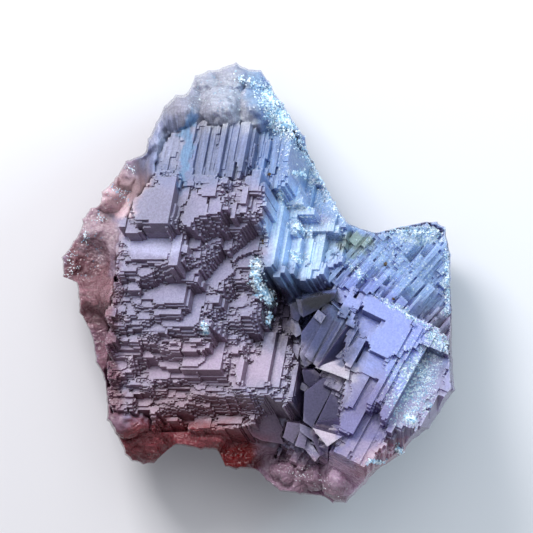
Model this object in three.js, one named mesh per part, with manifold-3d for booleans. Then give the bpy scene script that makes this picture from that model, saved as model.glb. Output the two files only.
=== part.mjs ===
// Fluorite specimen: a cluster of intergrown cubic crystals with stepped, parallel-growth faces.
// It lies on its broken back with its display face up. Millimetres, +X to the right of the display
// face, +Y towards its peak, +Z up out of the display face, origin at the centre of the rest plane.
import * as THREE from "three";
import { mergeVertices } from "three/addons/utils/BufferGeometryUtils.js";
import Module from "manifold-3d";

const wasm = await Module();
wasm.setup();

// ---- driving dimensions ----
const HEART = [-0.5, -1.3]; // the point that the outline is star-shaped about
const REST_SHARE = 0.5; // size of the flat rest face against the outline
const BELLY_SHARE = 0.93; // size of the back half way up to the rim
const BELLY_HEIGHT = 0.4; // its height, as a share of the rim height
const RIM_HEIGHT = 0.62; // height of the widest outline, as a share of the display relief there
const TOP_SHARE = 0.95; // how far the sides lean in above the rim
const SKY = 45; // above the highest crystal
const UNDER = -5; // below the rest plane
const SPAN = 60; // half of a square that holds the outline from any side
const FOOT = 15; // how deep a terraced crystal is rooted below its lowest terrace
const GROUND_STEP = 6; // size of the facets of the ground between the crystals
const GROUND_UNEVEN = 0.9;
const GROUND_SINK = 0.3; // the ground lies this far below the relief where it shows
const HIDDEN_SINK = 6; // and this far below it under the crystals
const BACK_STEP = [7.5, 8.5]; // size of the steps broken into the back
const BACK_UNEVEN = 0.6;
const BACK_SINK = -4; // the broken back reaches below the rest plane, which cuts it flat
const BLOCK_DEPTH = 9; // how deep a single block is rooted
const BLOCK_LEAN = [0.6, 1.6]; // how far its root lies from its top, along x and y
const PLATE_DETAIL = 1.5; // corners of a plate that lie closer than this to the last are left out
const SEED = 7;

// Widest outline, clockwise from the peak.
const OUTLINE = [
  [-4, 40], [-2.5, 39], [0.5, 38.5], [2, 36.5], [3.5, 33.5], [4.5, 32.5], [6.5, 29], [8.5, 26.5],
  [9, 23.5], [10, 22], [12, 18], [14, 14.5], [16, 11], [18, 10], [21.5, 9], [25.5, 10], [30.5, 11],
  [32.5, 11], [34, 10], [35, 5], [35.2, -5], [35.2, -14], [35.7, -19.5], [33, -23.5], [31, -26.5],
  [27, -29.5], [26.5, -31], [23, -33], [21, -34.5], [19.5, -36.5], [16, -40], [13.5, -40.1],
  [12, -39], [7.5, -38.5], [4, -38], [1.5, -36], [-0.5, -34], [-4, -34], [-6, -33.5], [-7.5, -30.5],
  [-10.5, -30.4], [-15, -29.5], [-17, -31], [-19, -33], [-21, -33.2], [-23, -32.5], [-24.2, -31.3],
  [-26, -27.5], [-27.5, -25], [-27.5, -21.5], [-28, -17.5], [-29.5, -14.5], [-30.4, -9.5],
  [-32.5, -5.5], [-33, 0], [-35.5, 1], [-35.7, 4.5], [-33.5, 7.5], [-32, 10], [-32, 11.5],
  [-30.5, 13.5], [-29, 14], [-28.5, 16.5], [-26, 19], [-24, 22], [-20.5, 23.5], [-20, 26],
  [-18.5, 29], [-17, 32], [-15, 34], [-13, 34.2], [-12, 36], [-11.5, 37.5], [-9, 38.5], [-6.5, 39],
];

// Heights of the display relief at chosen places: x, y, z.
const RELIEF = [
  [-15, 16, 34], [-21, 6, 31.5], [-12, 0, 32.5], [0, 5, 31], [-24, -5, 29], [-12, -12, 29.5],
  [-12, -19, 26], [0, -14, 28.5], [-2, -22, 25.5], [-20, -22, 23.5],
  [-5, 39, 15], [-14, 31, 21], [2, 33, 18], [-6, 24, 30], [-6, 31, 23.5],
  [4, 19, 27], [11, 19, 15], [7, 9, 26], [14, 12, 18], [3, 27, 23],
  [10, 2, 24], [7, -5, 22], [6, -12, 24], [9, -20, 24],
  [19, 6, 21], [26, 4, 21], [32, 8, 17], [33, -3, 18],
  [20, -5, 29.5], [25, -12, 32], [19, -20, 33], [32, -13, 27], [31, -21, 22], [26, -25, 24],
  [15, -18, 31], [14, -28, 32], [20, -30, 29],
  [12, -37, 18], [9, -33, 22], [17, -35, 24], [3, -34, 18], [-2, -29, 21], [-9, -28, 22],
  [-20, -27, 20], [-22, -31, 14],
  [-31, 4, 17], [-29, -8, 17], [-25, 16, 19], [-29, 9, 19], [-30, 12, 17], [-27, -20, 20],
];

// ---- crystal frames: u and v lie in the crystal's face, w stands on it ----
const MAIN = frame([0.94, 0, 0.342], [0.165, 0.875, -0.454]);
const TWIN = frame([0.888, -0.427, 0.17], [0.458, 0.826, -0.33]);
const SLANT = frame([0.7, -0.66, -0.1], [0.66, 0.7, -0.25]);
const BACK = frame([0.94, 0, 0.342], [-0.165, -0.875, 0.454]); // the main crystal, from behind

// Plates that stand out from each crystal's face: the height along w, then the corners.
const GREAT_PLATES = [
  [40.9, [-18.6, 19.9], [-17.1, 19.1], [-14.4, 18.9], [-15.1, 17.1], [-15.7, 14], [-16.3, 10.8],
    [-19.5, 10.6], [-19.5, 11.2], [-22, 11.1], [-22.7, 13.5], [-22.3, 14.9], [-19.6, 16.7],
    [-17.8, 17.6], [-18.2, 18.9]],
  [38.3, [-12.2, 16.3], [-11, 16.7], [-10.6, 15.7], [-9.2, 15.5], [-9, 12.2], [-11.2, 11.7],
    [-11.7, 10.9], [-12.4, 10], [-13.9, 10.6], [-12.8, 13.5], [-12.3, 14.9]],
  [38.8, [-10.8, 16.5], [-9.4, 17.4], [-7.2, 18.9], [-7.3, 16.7], [-7.7, 15.4], [-9.4, 15.6],
    [-10.6, 15.9]],
  [37.9, [-9, 15.4], [-6.9, 15.4], [-6.5, 14], [-6.9, 12.6], [-9, 12]],
  [35.7, [-2.4, 18.9], [-1.3, 19.2], [-1.1, 20.1], [0.4, 20.3], [0.2, 16.3], [-1.5, 16.3],
    [-1.6, 17.2], [-2.4, 17.8]],
  [35.3, [-24.6, 8.8], [-23.2, 8], [-19.5, 8.3], [-15.4, 7.9], [-15.7, 5.5], [-16.6, 3.7],
    [-20.7, 4.3], [-22.9, 4.3], [-23.4, 5.5], [-23.6, 6.8], [-24.8, 7.3]],
  [35.8, [-15.1, 7.9], [-13.4, 9], [-13.9, 5.5], [-14.2, 3.2], [-16.4, 3.2], [-15.5, 5.2]],
  [29.6, [-20.6, -1], [-20.1, -1.8], [-17.1, -0.2], [-16.6, -0.6], [-15.7, -0.2], [-13.2, -0.4],
    [-13.3, -3.1], [-13.5, -4], [-16.8, -3.5], [-18, -4], [-18.7, -3.6], [-19.2, -2.9],
    [-21.1, -2.9], [-21.1, -2]],
  [26.3, [-17.5, -6.9], [-14.8, -6.7], [-13.9, -7.2], [-13.3, -6.3], [-11.9, -5.3], [-11.5, -2.2],
    [-9.3, -1.7], [-9.5, -3.6], [-10.5, -5.1], [-10.6, -7.2], [-11.7, -7.8], [-13.5, -7.9],
    [-16.2, -8.3], [-16.8, -7.8], [-17.5, -7.6]],
  [20.3, [-13.3, -13.2], [-9.7, -12.8], [-9.6, -14.1], [-10.5, -14.6], [-10.8, -15.1],
    [-13.6, -15]],
  [17.9, [-19.5, -15.5], [-18.9, -14.6], [-17.8, -14.6], [-17.7, -15.3], [-15.7, -15.9],
    [-15.9, -17.1], [-16.6, -17.5], [-18.6, -17.3], [-19.5, -17.7], [-20, -17.3], [-19.6, -16.4],
    [-20.7, -16.2], [-20.5, -15.9]],
  [19.7, [-7.6, -11.7], [-6.7, -10.7], [-5.4, -10.5], [-6, -12.1], [-6.5, -14.1], [-7, -15.6],
    [-13.9, -15.6], [-14.1, -15.3], [-10.8, -15.3], [-9.7, -14.3], [-9.4, -13.4], [-8.1, -12.8]],
  [15.9, [1.2, -9], [3.4, -9], [2.9, -11.2], [2.3, -13.9], [1.8, -17.5], [0.9, -18.8],
    [-2.2, -18.6], [-2.4, -18], [-2, -15], [-0.9, -14.4], [-0.7, -13.4], [0.2, -13.2],
    [0.7, -11.6]],
  [14.5, [3.6, -9.2], [5.2, -9.6], [4.7, -13.9], [4.1, -18.9], [2.5, -18.6], [2.9, -16.1],
    [3.2, -12.5]],
  [26.7, [-5.8, 4.5], [-5.1, 4.8], [-4.7, 2.7], [-4.3, 1.9], [-5.6, 0.9], [-6.9, 0.1], [-7.2, -1.5],
    [-9.6, -0.2], [-7.9, 1.9]],
  [27.3, [-0.4, 8.2], [0.2, 8.4], [0, 5.9], [-3.3, 4.8], [-4.5, 3.7], [-4.5, 4.8]],
  [26.3, [-4, 4.5], [-1.1, 5.5], [-0.4, 3.7], [-1.5, 2.7], [-3.1, 2.7], [-3.8, 3]],
];

const TWIN_PLATES = [
  [25.5, [19.4, -2], [20.3, -1.8], [25.4, -4.8], [27.7, -6.5], [27.3, -8], [26.4, -10.5],
    [25.9, -11.7], [25, -12.8], [23.9, -13.1], [23, -13.5], [21.4, -12.8], [20.1, -11.9],
    [20.1, -11.2], [19.1, -10.1], [20.1, -9.4], [21, -8.7], [21.6, -8], [22.3, -7.8], [22.8, -7.1],
    [19.1, -4.4], [18.7, -3.1]],
  [25.2, [27.9, -6.9], [29.9, -8.1], [27.7, -11.9], [26.3, -12.5], [25.7, -12.1], [26.6, -10.5],
    [27.5, -8.3]],
  [24, [27.5, -12.1], [29.1, -12.6], [28.1, -15.2], [26.3, -19.3], [24.1, -22.7], [23.4, -24.5],
    [22.3, -24.7], [22.1, -23.3], [23.6, -20.2], [25.4, -16.1]],
  [24.5, [25.9, -12.5], [27.2, -12.5], [25.2, -16.1], [22.8, -19.8], [21.9, -21.5], [21.6, -20.7],
    [23, -18.2], [24.5, -15.3]],
  [24.8, [23.4, -13.5], [24.8, -13.7], [23, -17.1], [21.6, -19.3], [20.3, -22], [19.8, -21.6],
    [21, -18.9], [22.1, -16.1]],
  [24, [19.1, -12.3], [20.3, -12.3], [22.8, -13.9], [21.6, -16.2], [20.9, -17.5], [20, -17],
    [18.5, -15.9], [16.9, -16.1], [16.5, -15.3], [17.6, -14.3]],
  [23.7, [16.7, -17.5], [17.1, -16.1], [18.5, -15.9], [20, -17], [17.1, -22.4], [15.5, -22.4],
    [16.4, -19.8]],
  [22.9, [20, -17.1], [21.9, -17.9], [20.3, -21.8], [18.9, -23.6], [16.7, -26.9], [15.8, -26.9],
    [14.9, -26], [14.6, -24], [15.5, -22.4], [17.1, -22.4]],
  [21.3, [18.9, -23.8], [20.3, -24.2], [16.9, -29.9], [15.5, -31.4], [14.2, -31], [16, -28.3],
    [16.9, -26.9]],
  [20.8, [20.7, -24.2], [22.1, -23.6], [22.5, -24.9], [20.1, -28.8], [17.8, -32.4], [16.4, -33],
    [16.9, -30.6], [18.3, -28.3]],
  [22.9, [17.8, -5.1], [19.1, -4.4], [22.8, -7.1], [22.1, -7.8], [21, -8.7], [20.1, -9.4],
    [19.1, -10.1], [18.3, -9.8], [18, -8.5], [17.8, -6.7]],
  [25.3, [15.6, -13.4], [16.5, -11.9], [18.3, -9.9], [19.4, -10.5], [16.5, -15.2], [15.6, -14.6]],
  [21.5, [22.7, -25.1], [24.1, -23.1], [26.3, -19.7], [28.1, -15.7], [30.9, -12.5], [32.7, -13],
    [33.5, -18.4], [30.9, -21.1], [27.3, -25.6]],
];

const SLOPE_PLATES = [
  [30.6, [1.6, 18.5], [2.9, 19.4], [5.6, 20.3], [5.2, 18], [3.8, 16.7], [1.6, 16.7]],
  [27.3, [1.4, 16.5], [3.2, 16.3], [4.7, 13.5], [4.5, 10.9], [3.8, 7.7], [2.5, 3.2], [1.2, 2.7],
    [0.9, 5.9], [0.9, 9.5], [1.2, 13.1]],
  [24.9, [5, 10.9], [5.4, 9.5], [5, 5.9], [4.1, 1.9], [3.8, 1], [2.3, 1], [3, 3.7], [4.1, 7.7],
    [4.5, 10.2]],
  [24.1, [5, 13.1], [10.2, 13.1], [10.2, 12], [7.2, 12], [5, 11.1]],
  [20.7, [8.1, 11.7], [13.8, 10.9], [13.7, 9], [11.1, 9.7], [8.3, 9.3], [7.5, 10.4]],
  [20.3, [8.4, 17.2], [9.7, 17.4], [9.7, 13.8], [8.3, 13.8]],
  [18.9, [10.1, 16.9], [11.5, 16.3], [12.2, 14], [11.1, 9.9], [10.1, 9.9]],
  [25.5, [5.6, 18], [7.5, 17.4], [8.1, 14], [5, 14]],
  [22.4, [5, 7.7], [7.5, 8.2], [7.5, 3.7], [5.4, 2.7]],
  [20.3, [7.7, 8.1], [9.7, 8.1], [9.7, 3.7], [8.1, 2.7], [7.7, 3.7]],
  [19.7, [9.9, 8.4], [11.9, 8.8], [11.9, 3.7], [10.1, 2.3]],
  [17.3, [12, 8.6], [14, 8.4], [14.4, 5.5], [12.2, 3.7]],
];

const COLUMN_PLATES = [
  [38.8, [-13.3, 26.6], [-12.4, 30.6], [-11.2, 30.6], [-11.2, 23.9], [-11.5, 17.4], [-13.5, 18],
    [-13.9, 21.2]],
  [38.2, [-17.7, 22.1], [-16.9, 25.2], [-15.9, 25.4], [-15.8, 19.4], [-17.1, 19.9]],
  [38.1, [-10.6, 27.9], [-9.3, 28.2], [-9.5, 18.2], [-10.6, 17.6]],
  [37.5, [-9, 28.2], [-7.9, 28.4], [-8, 19], [-9, 18.6]],
  [37.9, [-7.2, 28.8], [-6.3, 28.9], [-6.4, 19.2], [-7.4, 19]],
  [36.9, [-6, 28.9], [-5.2, 28.8], [-5.3, 20.5], [-6, 19.8]],
  [36.2, [-3.4, 28.6], [-2.2, 28.6], [-2.1, 19.6], [-2.9, 19.4], [-3.8, 21.7]],
  [34.4, [-1.8, 28.2], [-0.9, 28.6], [-0.9, 22.8], [-1.5, 20.3], [-1.9, 23.9]],
  [32.4, [-0.2, 28.6], [0.9, 28], [0.9, 22.4], [0.2, 22.5]],
  [31, [2.5, 27.5], [4.3, 27.9], [4.1, 23.9], [3.2, 19.9], [1.9, 18.4], [2.2, 22.1]],
];

// Each terraced crystal: its frame, the size of its steps along u and v, the share of steps that
// merge into longer plates along u and v, how unevenly the plates stand, how far they lie below
// the surface that they follow, the plates that stand out, and the ground it covers.
const CRYSTALS = {
  great_face: {
    frame: MAIN, step: [3.3, 3.2], merge: [0.5, 0.15], uneven: 0.4, sink: 0.5, placed: GREAT_PLATES,
    ground: [[-18, 20.3], [-23, 13], [-25, 6], [-27, -8], [-27.3, -20], [-26, -24], [-19, -26.6],
      [-12, -26.8], [-5, -26.4], [1, -25], [6.2, -21], [7.2, -14.8], [3.5, -7], [2, 5], [1.3, 18]],
  },
  valley: {
    frame: MAIN, step: [2, 3], merge: [0.2, 0.4], uneven: 0.5, sink: 0, placed: [],
    ground: [[1, 0], [7.6, 1], [10, -3], [9, -9], [7, -14], [3, -9]],
  },
  columns: {
    frame: MAIN, step: [2.1, 7], merge: [0.1, 0.6], uneven: 0.3, sink: 0.3, placed: COLUMN_PLATES,
    ground: [[-17, 17.5], [-18.6, 19.6], [-18, 23], [-16, 26], [-13, 29.4], [-10, 29], [-4, 28.8],
      [3, 28], [6.5, 27], [7.5, 24], [6, 20], [1.6, 15.5], [-5, 16.5]],
  },
  right_slope: {
    frame: MAIN, step: [2.8, 4.6], merge: [0.15, 0.4], uneven: 0.4, sink: 0.3, placed: SLOPE_PLATES,
    ground: [[1.6, 18], [6, 24], [9, 23.5], [12, 18], [14, 14.5], [16.4, 10.4], [15, 4], [9, 0],
      [4, -1], [1.5, 6]],
  },
  upper_right: {
    frame: SLANT, step: [1.9, 4.2], merge: [0.1, 0.5], uneven: 0.5, sink: 0, placed: [],
    ground: [[16, 10.6], [21.5, 8.6], [30.5, 10.6], [34.2, 9], [35, -4], [34.5, -12], [28, -8],
      [20, -2], [16, -1], [9, 1], [12, 5]],
  },
  lower_right: {
    frame: TWIN, step: [5, 8], merge: [0.3, 0.4], uneven: 0.25, sink: 0.4, placed: TWIN_PLATES,
    ground: [[16.6, -4], [18.4, -1.8], [20.4, -1.8], [32.6, -8.5], [34.8, -14], [34.5, -20],
      [30, -26.5], [24, -31], [18, -33.5], [13.5, -31.5], [14.4, -27], [15, -22], [15.8, -17],
      [15.4, -13]],
  },
  core: {
    frame: TWIN, step: [2.8, 4.2], merge: [0.2, 0.4], uneven: 0.5, sink: 0.9, placed: [],
    ground: [[6, -1], [9, 1.5], [17, 0.5], [17.5, -4], [17, -12], [16.4, -18], [15.6, -24],
      [15.6, -31], [9, -34], [3, -32], [5, -26], [7, -20], [7, -14], [5.5, -8]],
  },
};

// Single blocks between the great face and the lower right crystal: the height of the middle of
// the top, its slopes along x and y, and its corners.
const BLOCKS = [
  [27.8, -0.2, 0.25, [7.7, -3.1], [14, -1.8], [13.7, -2.9], [11.1, -4.7], [8.1, -6.3]],
  [27.6, 0.1, 0, [9.9, -6.2], [11.3, -7.4], [11, -8.9], [8.6, -11.9], [7.7, -11.2], [7.7, -9.2]],
  [27.6, -0.1, -0.1, [11.9, -3.3], [13.3, -4.2], [10.8, -9.2], [8.6, -13.4], [7.7, -12.5],
    [10.6, -7.8]],
  [28.2, -0.1, -0.1, [13.3, -4], [14.6, -4.9], [9.5, -14.3], [8.3, -13.2]],
  [28, 0, -0.1, [14.6, -4.9], [15.3, -5.4], [10.1, -14.6], [9.5, -14.3]],
  [28.7, -0.1, -0.1, [15.3, -5.4], [16.7, -6.5], [15.6, -8.3], [10.6, -15.2], [9.9, -14.6]],
  [28.4, -0.7, 0.3, [16.7, -6.5], [18.9, -8.3], [18, -10.8], [15.6, -13.5], [10.6, -15.2],
    [15.6, -8.3]],
  [31.6, 0.3635, -0.587, [10.2, -15.3], [15.5, -13.5], [16.5, -15.5], [16.2, -17.5], [13.5, -16.4]],
  [27.2, -0.1, 0.2, [7.9, -15.9], [10.1, -15.7], [11.7, -17], [9.2, -18.8], [8.3, -18]],
  [28.8, 0.1, 0, [11.7, -17.1], [14.4, -17.1], [9.7, -26.1], [8.1, -24.9], [8.3, -19.8]],
  [29.6, 0, 0.05, [14.4, -17.1], [16.4, -17.5], [15.6, -21.3], [14.6, -23.6], [14.6, -24.7],
    [10.8, -25.1], [10.1, -26.1]],
  [30.2, 0.2, 0.35, [10.8, -24.9], [14.6, -24.5], [15.3, -27], [10.1, -26.1]],
  [27, 0.1, 0.3, [5.2, -25.1], [7.5, -25.4], [7.5, -26.7], [6.3, -29], [4.5, -27.9]],
  [24.4, -0.15, 0.35, [-2.7, -25.4], [-0.9, -27.8], [0.7, -28.5], [4.7, -29.2], [3.9, -27.6],
    [4.5, -26.5], [2.5, -22.5], [0.7, -23.3], [-1.5, -24.3]],
];

// Rounded, glassy lumps: centre, then half sizes.
const LUMPS = [
  [-4.5, 38.2, 13, 2.5, 2.3, 5.4], [-9, 35.6, 14, 3.7, 3.5, 7.6], [-4.7, 36, 14.4, 4.2, 3.6, 7.6],
  [-0.9, 35.2, 13.6, 3.8, 3.8, 7.6], [-13, 30, 18.4, 5, 5, 9], [-6.6, 30.8, 18.6, 5.2, 4.6, 9.2],
  [-0.7, 30.6, 17.4, 5.2, 4.8, 9], [3.6, 28.6, 15, 3.8, 4.8, 9], [-18.4, 24.6, 18, 3.4, 7.4, 8.6],
  [-4, -31, 15, 3.3, 3.3, 3.5], [-23.6, -25.4, 21, 3.7, 2.5, 3], [-20.4, -28.6, 14, 6, 4.8, 6],
  [-27, 16.5, 16.5, 3.6, 4.2, 4.5], [-22.6, 18.6, 16, 3.4, 3.6, 5], [-33, 4, 14, 2.6, 3.4, 4],
  [-30.4, -2, 13, 3, 4.6, 5], [-29.6, 9.6, 14, 3.2, 4, 5], [-6.4, -29.4, 18, 1.1, 1.2, 1.6],
  [14.6, -35.4, 18.6, 3.6, 4.4, 8.5], [10, -35.2, 16, 3.6, 3, 7], [18.8, -32.8, 21, 3.4, 3, 8],
  [5.4, -34.6, 15, 3.6, 2.8, 6],
];

// ---- small helpers ----
function frame(u, v) {
  const U = new THREE.Vector3(...u).normalize();
  const V = new THREE.Vector3(...v).addScaledVector(U, -U.dot(new THREE.Vector3(...v))).normalize();
  return { u: U, v: V, w: new THREE.Vector3().crossVectors(U, V) };
}

function randomFrom(seed) {
  let state = seed;
  return () => {
    state = (state * 1664525 + 1013904223) % 4294967296;
    return state / 4294967296;
  };
}

function inside(polygon, x, y) {
  let hit = false;
  polygon.forEach(([ax, ay], i) => {
    const [bx, by] = polygon[(i + 1) % polygon.length];
    if (ay > y !== by > y && x < ((bx - ax) * (y - ay)) / (by - ay) + ax) hit = !hit;
  });
  return hit;
}

// The heights of places (x, y, z) around a point, blended by nearness, and how near the
// nearest one is: 1 / distance to the fourth.
function blend(places, x, y, softness) {
  let sum = 0;
  let weights = 0;
  let nearest = 0;
  for (const [px, py, pz] of places) {
    const weight = 1 / ((x - px) ** 2 + (y - py) ** 2 + softness) ** 2;
    sum += weight * pz;
    weights += weight;
    nearest = Math.max(nearest, weight);
  }
  return { height: sum / weights, nearest };
}

// Height of the display relief.
const relief = (x, y) => blend(RELIEF, x, y, 2).height;

function weld(g) {
  g.deleteAttribute("normal");
  g.deleteAttribute("uv");
  return mergeVertices(g, 1e-4);
}

function solidOf(g) {
  const welded = weld(g);
  return new wasm.Manifold(new wasm.Mesh({
    numProp: 3,
    vertProperties: new Float32Array(welded.attributes.position.array),
    triVerts: new Uint32Array(welded.index.array),
  }));
}

function solid(points, faces) {
  const g = new THREE.BufferGeometry();
  g.setAttribute("position", new THREE.Float32BufferAttribute(points.flat(), 3));
  g.setIndex(faces.flat());
  return solidOf(g);
}

// The walls between rings of equal length, bottom to top, anticlockwise from above.
function walls(rings) {
  const n = rings[0].length;
  const faces = [];
  for (let r = 0; r + 1 < rings.length; r++) {
    for (let i = 0; i < n; i++) {
      const a = r * n + i;
      const b = r * n + ((i + 1) % n);
      faces.push([a, b, b + n], [a, b + n, a + n]);
    }
  }
  return faces;
}

// Rings closed at both ends by fans about their middles.
function loft(rings) {
  const n = rings[0].length;
  const points = rings.flat();
  const faces = walls(rings);
  const cap = (ring, start, up) => {
    const middle = points.length;
    points.push([0, 1, 2].map((k) => ring.reduce((s, p) => s + p[k], 0) / n));
    for (let i = 0; i < n; i++) {
      const pair = [start + i, start + ((i + 1) % n)];
      faces.push(up ? [...pair, middle] : [pair[1], pair[0], middle]);
    }
  };
  cap(rings[0], 0, false);
  cap(rings[rings.length - 1], (rings.length - 1) * n, true);
  return solid(points, faces);
}

// A prism over a flat outline of any shape: each corner (a, b) gives its point at the root
// and at the top.
function prism(outline, root, top) {
  const turned = THREE.ShapeUtils.isClockWise(outline.map((c) => new THREE.Vector2(...c)));
  const corners = turned ? [...outline].reverse() : outline;
  const n = corners.length;
  const faces = walls([corners, corners]);
  for (const [a, b, c] of THREE.ShapeUtils.triangulateShape(corners.map((p) => new THREE.Vector2(...p)), []))
    faces.push([c, b, a], [n + a, n + b, n + c]);
  return solid([...corners.map(root), ...corners.map(top)], faces);
}

// ---- the body ----
const ring = (share, height) =>
  [...OUTLINE].reverse().map(([x, y]) => {
    const px = HEART[0] + (x - HEART[0]) * share;
    const py = HEART[1] + (y - HEART[1]) * share;
    return [px, py, height(x, y)];
  });

// The space that the specimen fills: its outline, its tucked-in back and its flat rest face.
function envelope() {
  const rim = (x, y) => RIM_HEIGHT * relief(x, y);
  return loft([
    ring(REST_SHARE, () => 0),
    ring(BELLY_SHARE, (x, y) => BELLY_HEIGHT * rim(x, y)),
    ring(1, rim),
    ring(TOP_SHARE, () => SKY),
  ]);
}

// The lumpy ground that the crystals stand out of.
function ground(random) {
  const cells = Math.ceil((2 * SPAN) / GROUND_STEP);
  const g = weld(new THREE.BoxGeometry(2 * SPAN, 2 * SPAN, 1, cells, cells, 1));
  const shake = () => GROUND_UNEVEN * (random() - 0.5);
  const p = g.attributes.position;
  for (let i = 0; i < p.count; i++) {
    const [x, y, top] = [p.getX(i), p.getY(i), p.getZ(i) > 0];
    const hidden = Object.values(CRYSTALS).some((shape) => inside(shape.ground, x, y));
    const height = relief(x, y) - (hidden ? HIDDEN_SINK : GROUND_SINK) + 2 * shake();
    p.setXYZ(i, x + shake(), y + shake(), top ? height : UNDER);
  }
  return solidOf(g);
}

// The broken back: flat in the middle, rising like a bowl to the outline.
function backRelief(x, y) {
  const dx = x - HEART[0];
  const dy = y - HEART[1];
  const share = Math.hypot(dx, dy) / reach(Math.atan2(dy, dx));
  const rise = Math.min(1, Math.max(0, share - REST_SHARE) / (1 - REST_SHARE));
  return BACK_SINK + (RIM_HEIGHT * relief(x, y) - BACK_SINK) * rise ** 2;
}

// Distance from the heart to the outline, in the direction of an angle.
function reach(angle) {
  const [cx, cy] = [Math.cos(angle), Math.sin(angle)];
  let far = 0;
  OUTLINE.forEach(([ax, ay], i) => {
    const [bx, by] = OUTLINE[(i + 1) % OUTLINE.length];
    const [px, py, ex, ey] = [ax - HEART[0], ay - HEART[1], bx - ax, by - ay];
    const cross = cx * ey - cy * ex;
    const t = (px * ey - py * ex) / cross;
    const k = (px * cy - py * cx) / cross;
    if (t > 0 && k >= 0 && k <= 1) far = Math.max(far, t);
  });
  return far;
}

function lump([x, y, z, rx, ry, rz]) {
  const g = new THREE.IcosahedronGeometry(1, Math.max(rx, ry) > 3 ? 2 : 1);
  g.scale(rx, ry, rz);
  g.translate(x, y, z);
  return solidOf(g);
}

// A slanting prism under a flat top.
function block([height, slopeX, slopeY, ...corners]) {
  const middle = [0, 1].map((k) => corners.reduce((s, c) => s + c[k], 0) / corners.length);
  const level = ([x, y]) => height + slopeX * (x - middle[0]) + slopeY * (y - middle[1]);
  return prism(
    corners,
    ([x, y]) => [x + BLOCK_LEAN[0], y + BLOCK_LEAN[1], level([x, y]) - BLOCK_DEPTH],
    ([x, y]) => [x, y, level([x, y])],
  );
}

// ---- terraced crystals ----
const along = (axis, x, y, z) => axis.x * x + axis.y * y + axis.z * z;

const pointOf = ({ u: U, v: V, w: W }, u, v, w) =>
  ["x", "y", "z"].map((k) => U[k] * u + V[k] * v + W[k] * w);

// Where a surface crosses the crystal's line (u, v): the point, and its height along w.
function onSurface(surface, f, u, v) {
  const up = Math.sign(f.w.z);
  let w = 20 * up;
  let p;
  for (let i = 0; i < 14; i++) {
    p = pointOf(f, u, v, w);
    w += 0.8 * up * (surface(p[0], p[1]) - p[2]);
  }
  return { p, w };
}

// A surface through the plates that stand out, which fades to the relief away from them.
function layers({ w: W }, placed) {
  const spots = placed.flatMap(([level, ...corners]) => {
    const middle = [0, 1].map((k) => corners.reduce((s, c) => s + c[k], 0) / corners.length);
    const near = corners.map((c) => c.map((value, k) => 0.75 * value + 0.25 * middle[k]));
    return [middle, ...near].map((c) => [...c, level]);
  });
  return (x, y) => {
    const { height, nearest } = blend(spots, x, y, 0.1);
    const share = Math.min(1, 40 * nearest);
    return share * ((height - W.x * x - W.y * y) / W.z) + (1 - share) * relief(x, y);
  };
}

// A plate's corners as (u, v), with the edges that nearly follow the lattice straightened.
function onLattice({ u: U, v: V, w: W }, level, corners) {
  const far = ([x, y], i) => Math.hypot(x - corners.at(i - 1)[0], y - corners.at(i - 1)[1]);
  const uv = corners.filter((c, i) => far(c, i) > PLATE_DETAIL).map(([x, y]) => {
    const z = (level - W.x * x - W.y * y) / W.z;
    return [along(U, x, y, z), along(V, x, y, z)];
  });
  for (let pass = 0; pass < 3; pass++) {
    uv.forEach((b, i) => {
      const a = uv[(i + uv.length - 1) % uv.length];
      for (const [one, two] of [[0, 1], [1, 0]])
        if (Math.abs(a[one] - b[one]) < 0.22 * Math.abs(a[two] - b[two]))
          a[one] = b[one] = (a[one] + b[one]) / 2;
    });
  }
  return uv;
}

// Neighbouring cells merge into plates of one height.
function plateMap(nu, nv, merge, random) {
  const owner = Array.from({ length: nu }, () => new Array(nv).fill(null));
  for (let j = 0; j < nv; j++) {
    for (let i = 0; i < nu; i++) {
      if (owner[i][j]) continue;
      let du = 1;
      let dv = 1;
      while (du < 6 && random() < merge[0]) du++;
      while (dv < 6 && random() < merge[1]) dv++;
      const plate = { i, j, du, dv, lift: random() - 0.5 };
      for (let a = i; a < Math.min(nu, i + du); a++)
        for (let b = j; b < Math.min(nv, j + dv); b++) owner[a][b] ??= plate;
    }
  }
  return owner;
}

// Two high cells that touch only along an edge would not be a solid's surface, so the gap
// between them is filled.
function fillDiagonals(h) {
  for (let again = true; again; ) {
    again = false;
    for (let i = 1; i < h.length; i++) {
      for (let j = 1; j < h[0].length; j++) {
        for (const [a, c, b, d] of [
          [[i - 1, j - 1], [i, j], [i, j - 1], [i - 1, j]],
          [[i, j - 1], [i - 1, j], [i - 1, j - 1], [i, j]],
        ]) {
          const at = ([x, y]) => h[x][y];
          const low = Math.min(at(a), at(c));
          if (low > Math.max(at(b), at(d))) {
            const [x, y] = at(b) > at(d) ? b : d;
            h[x][y] = low;
            again = true;
          }
        }
      }
    }
  }
}

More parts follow.
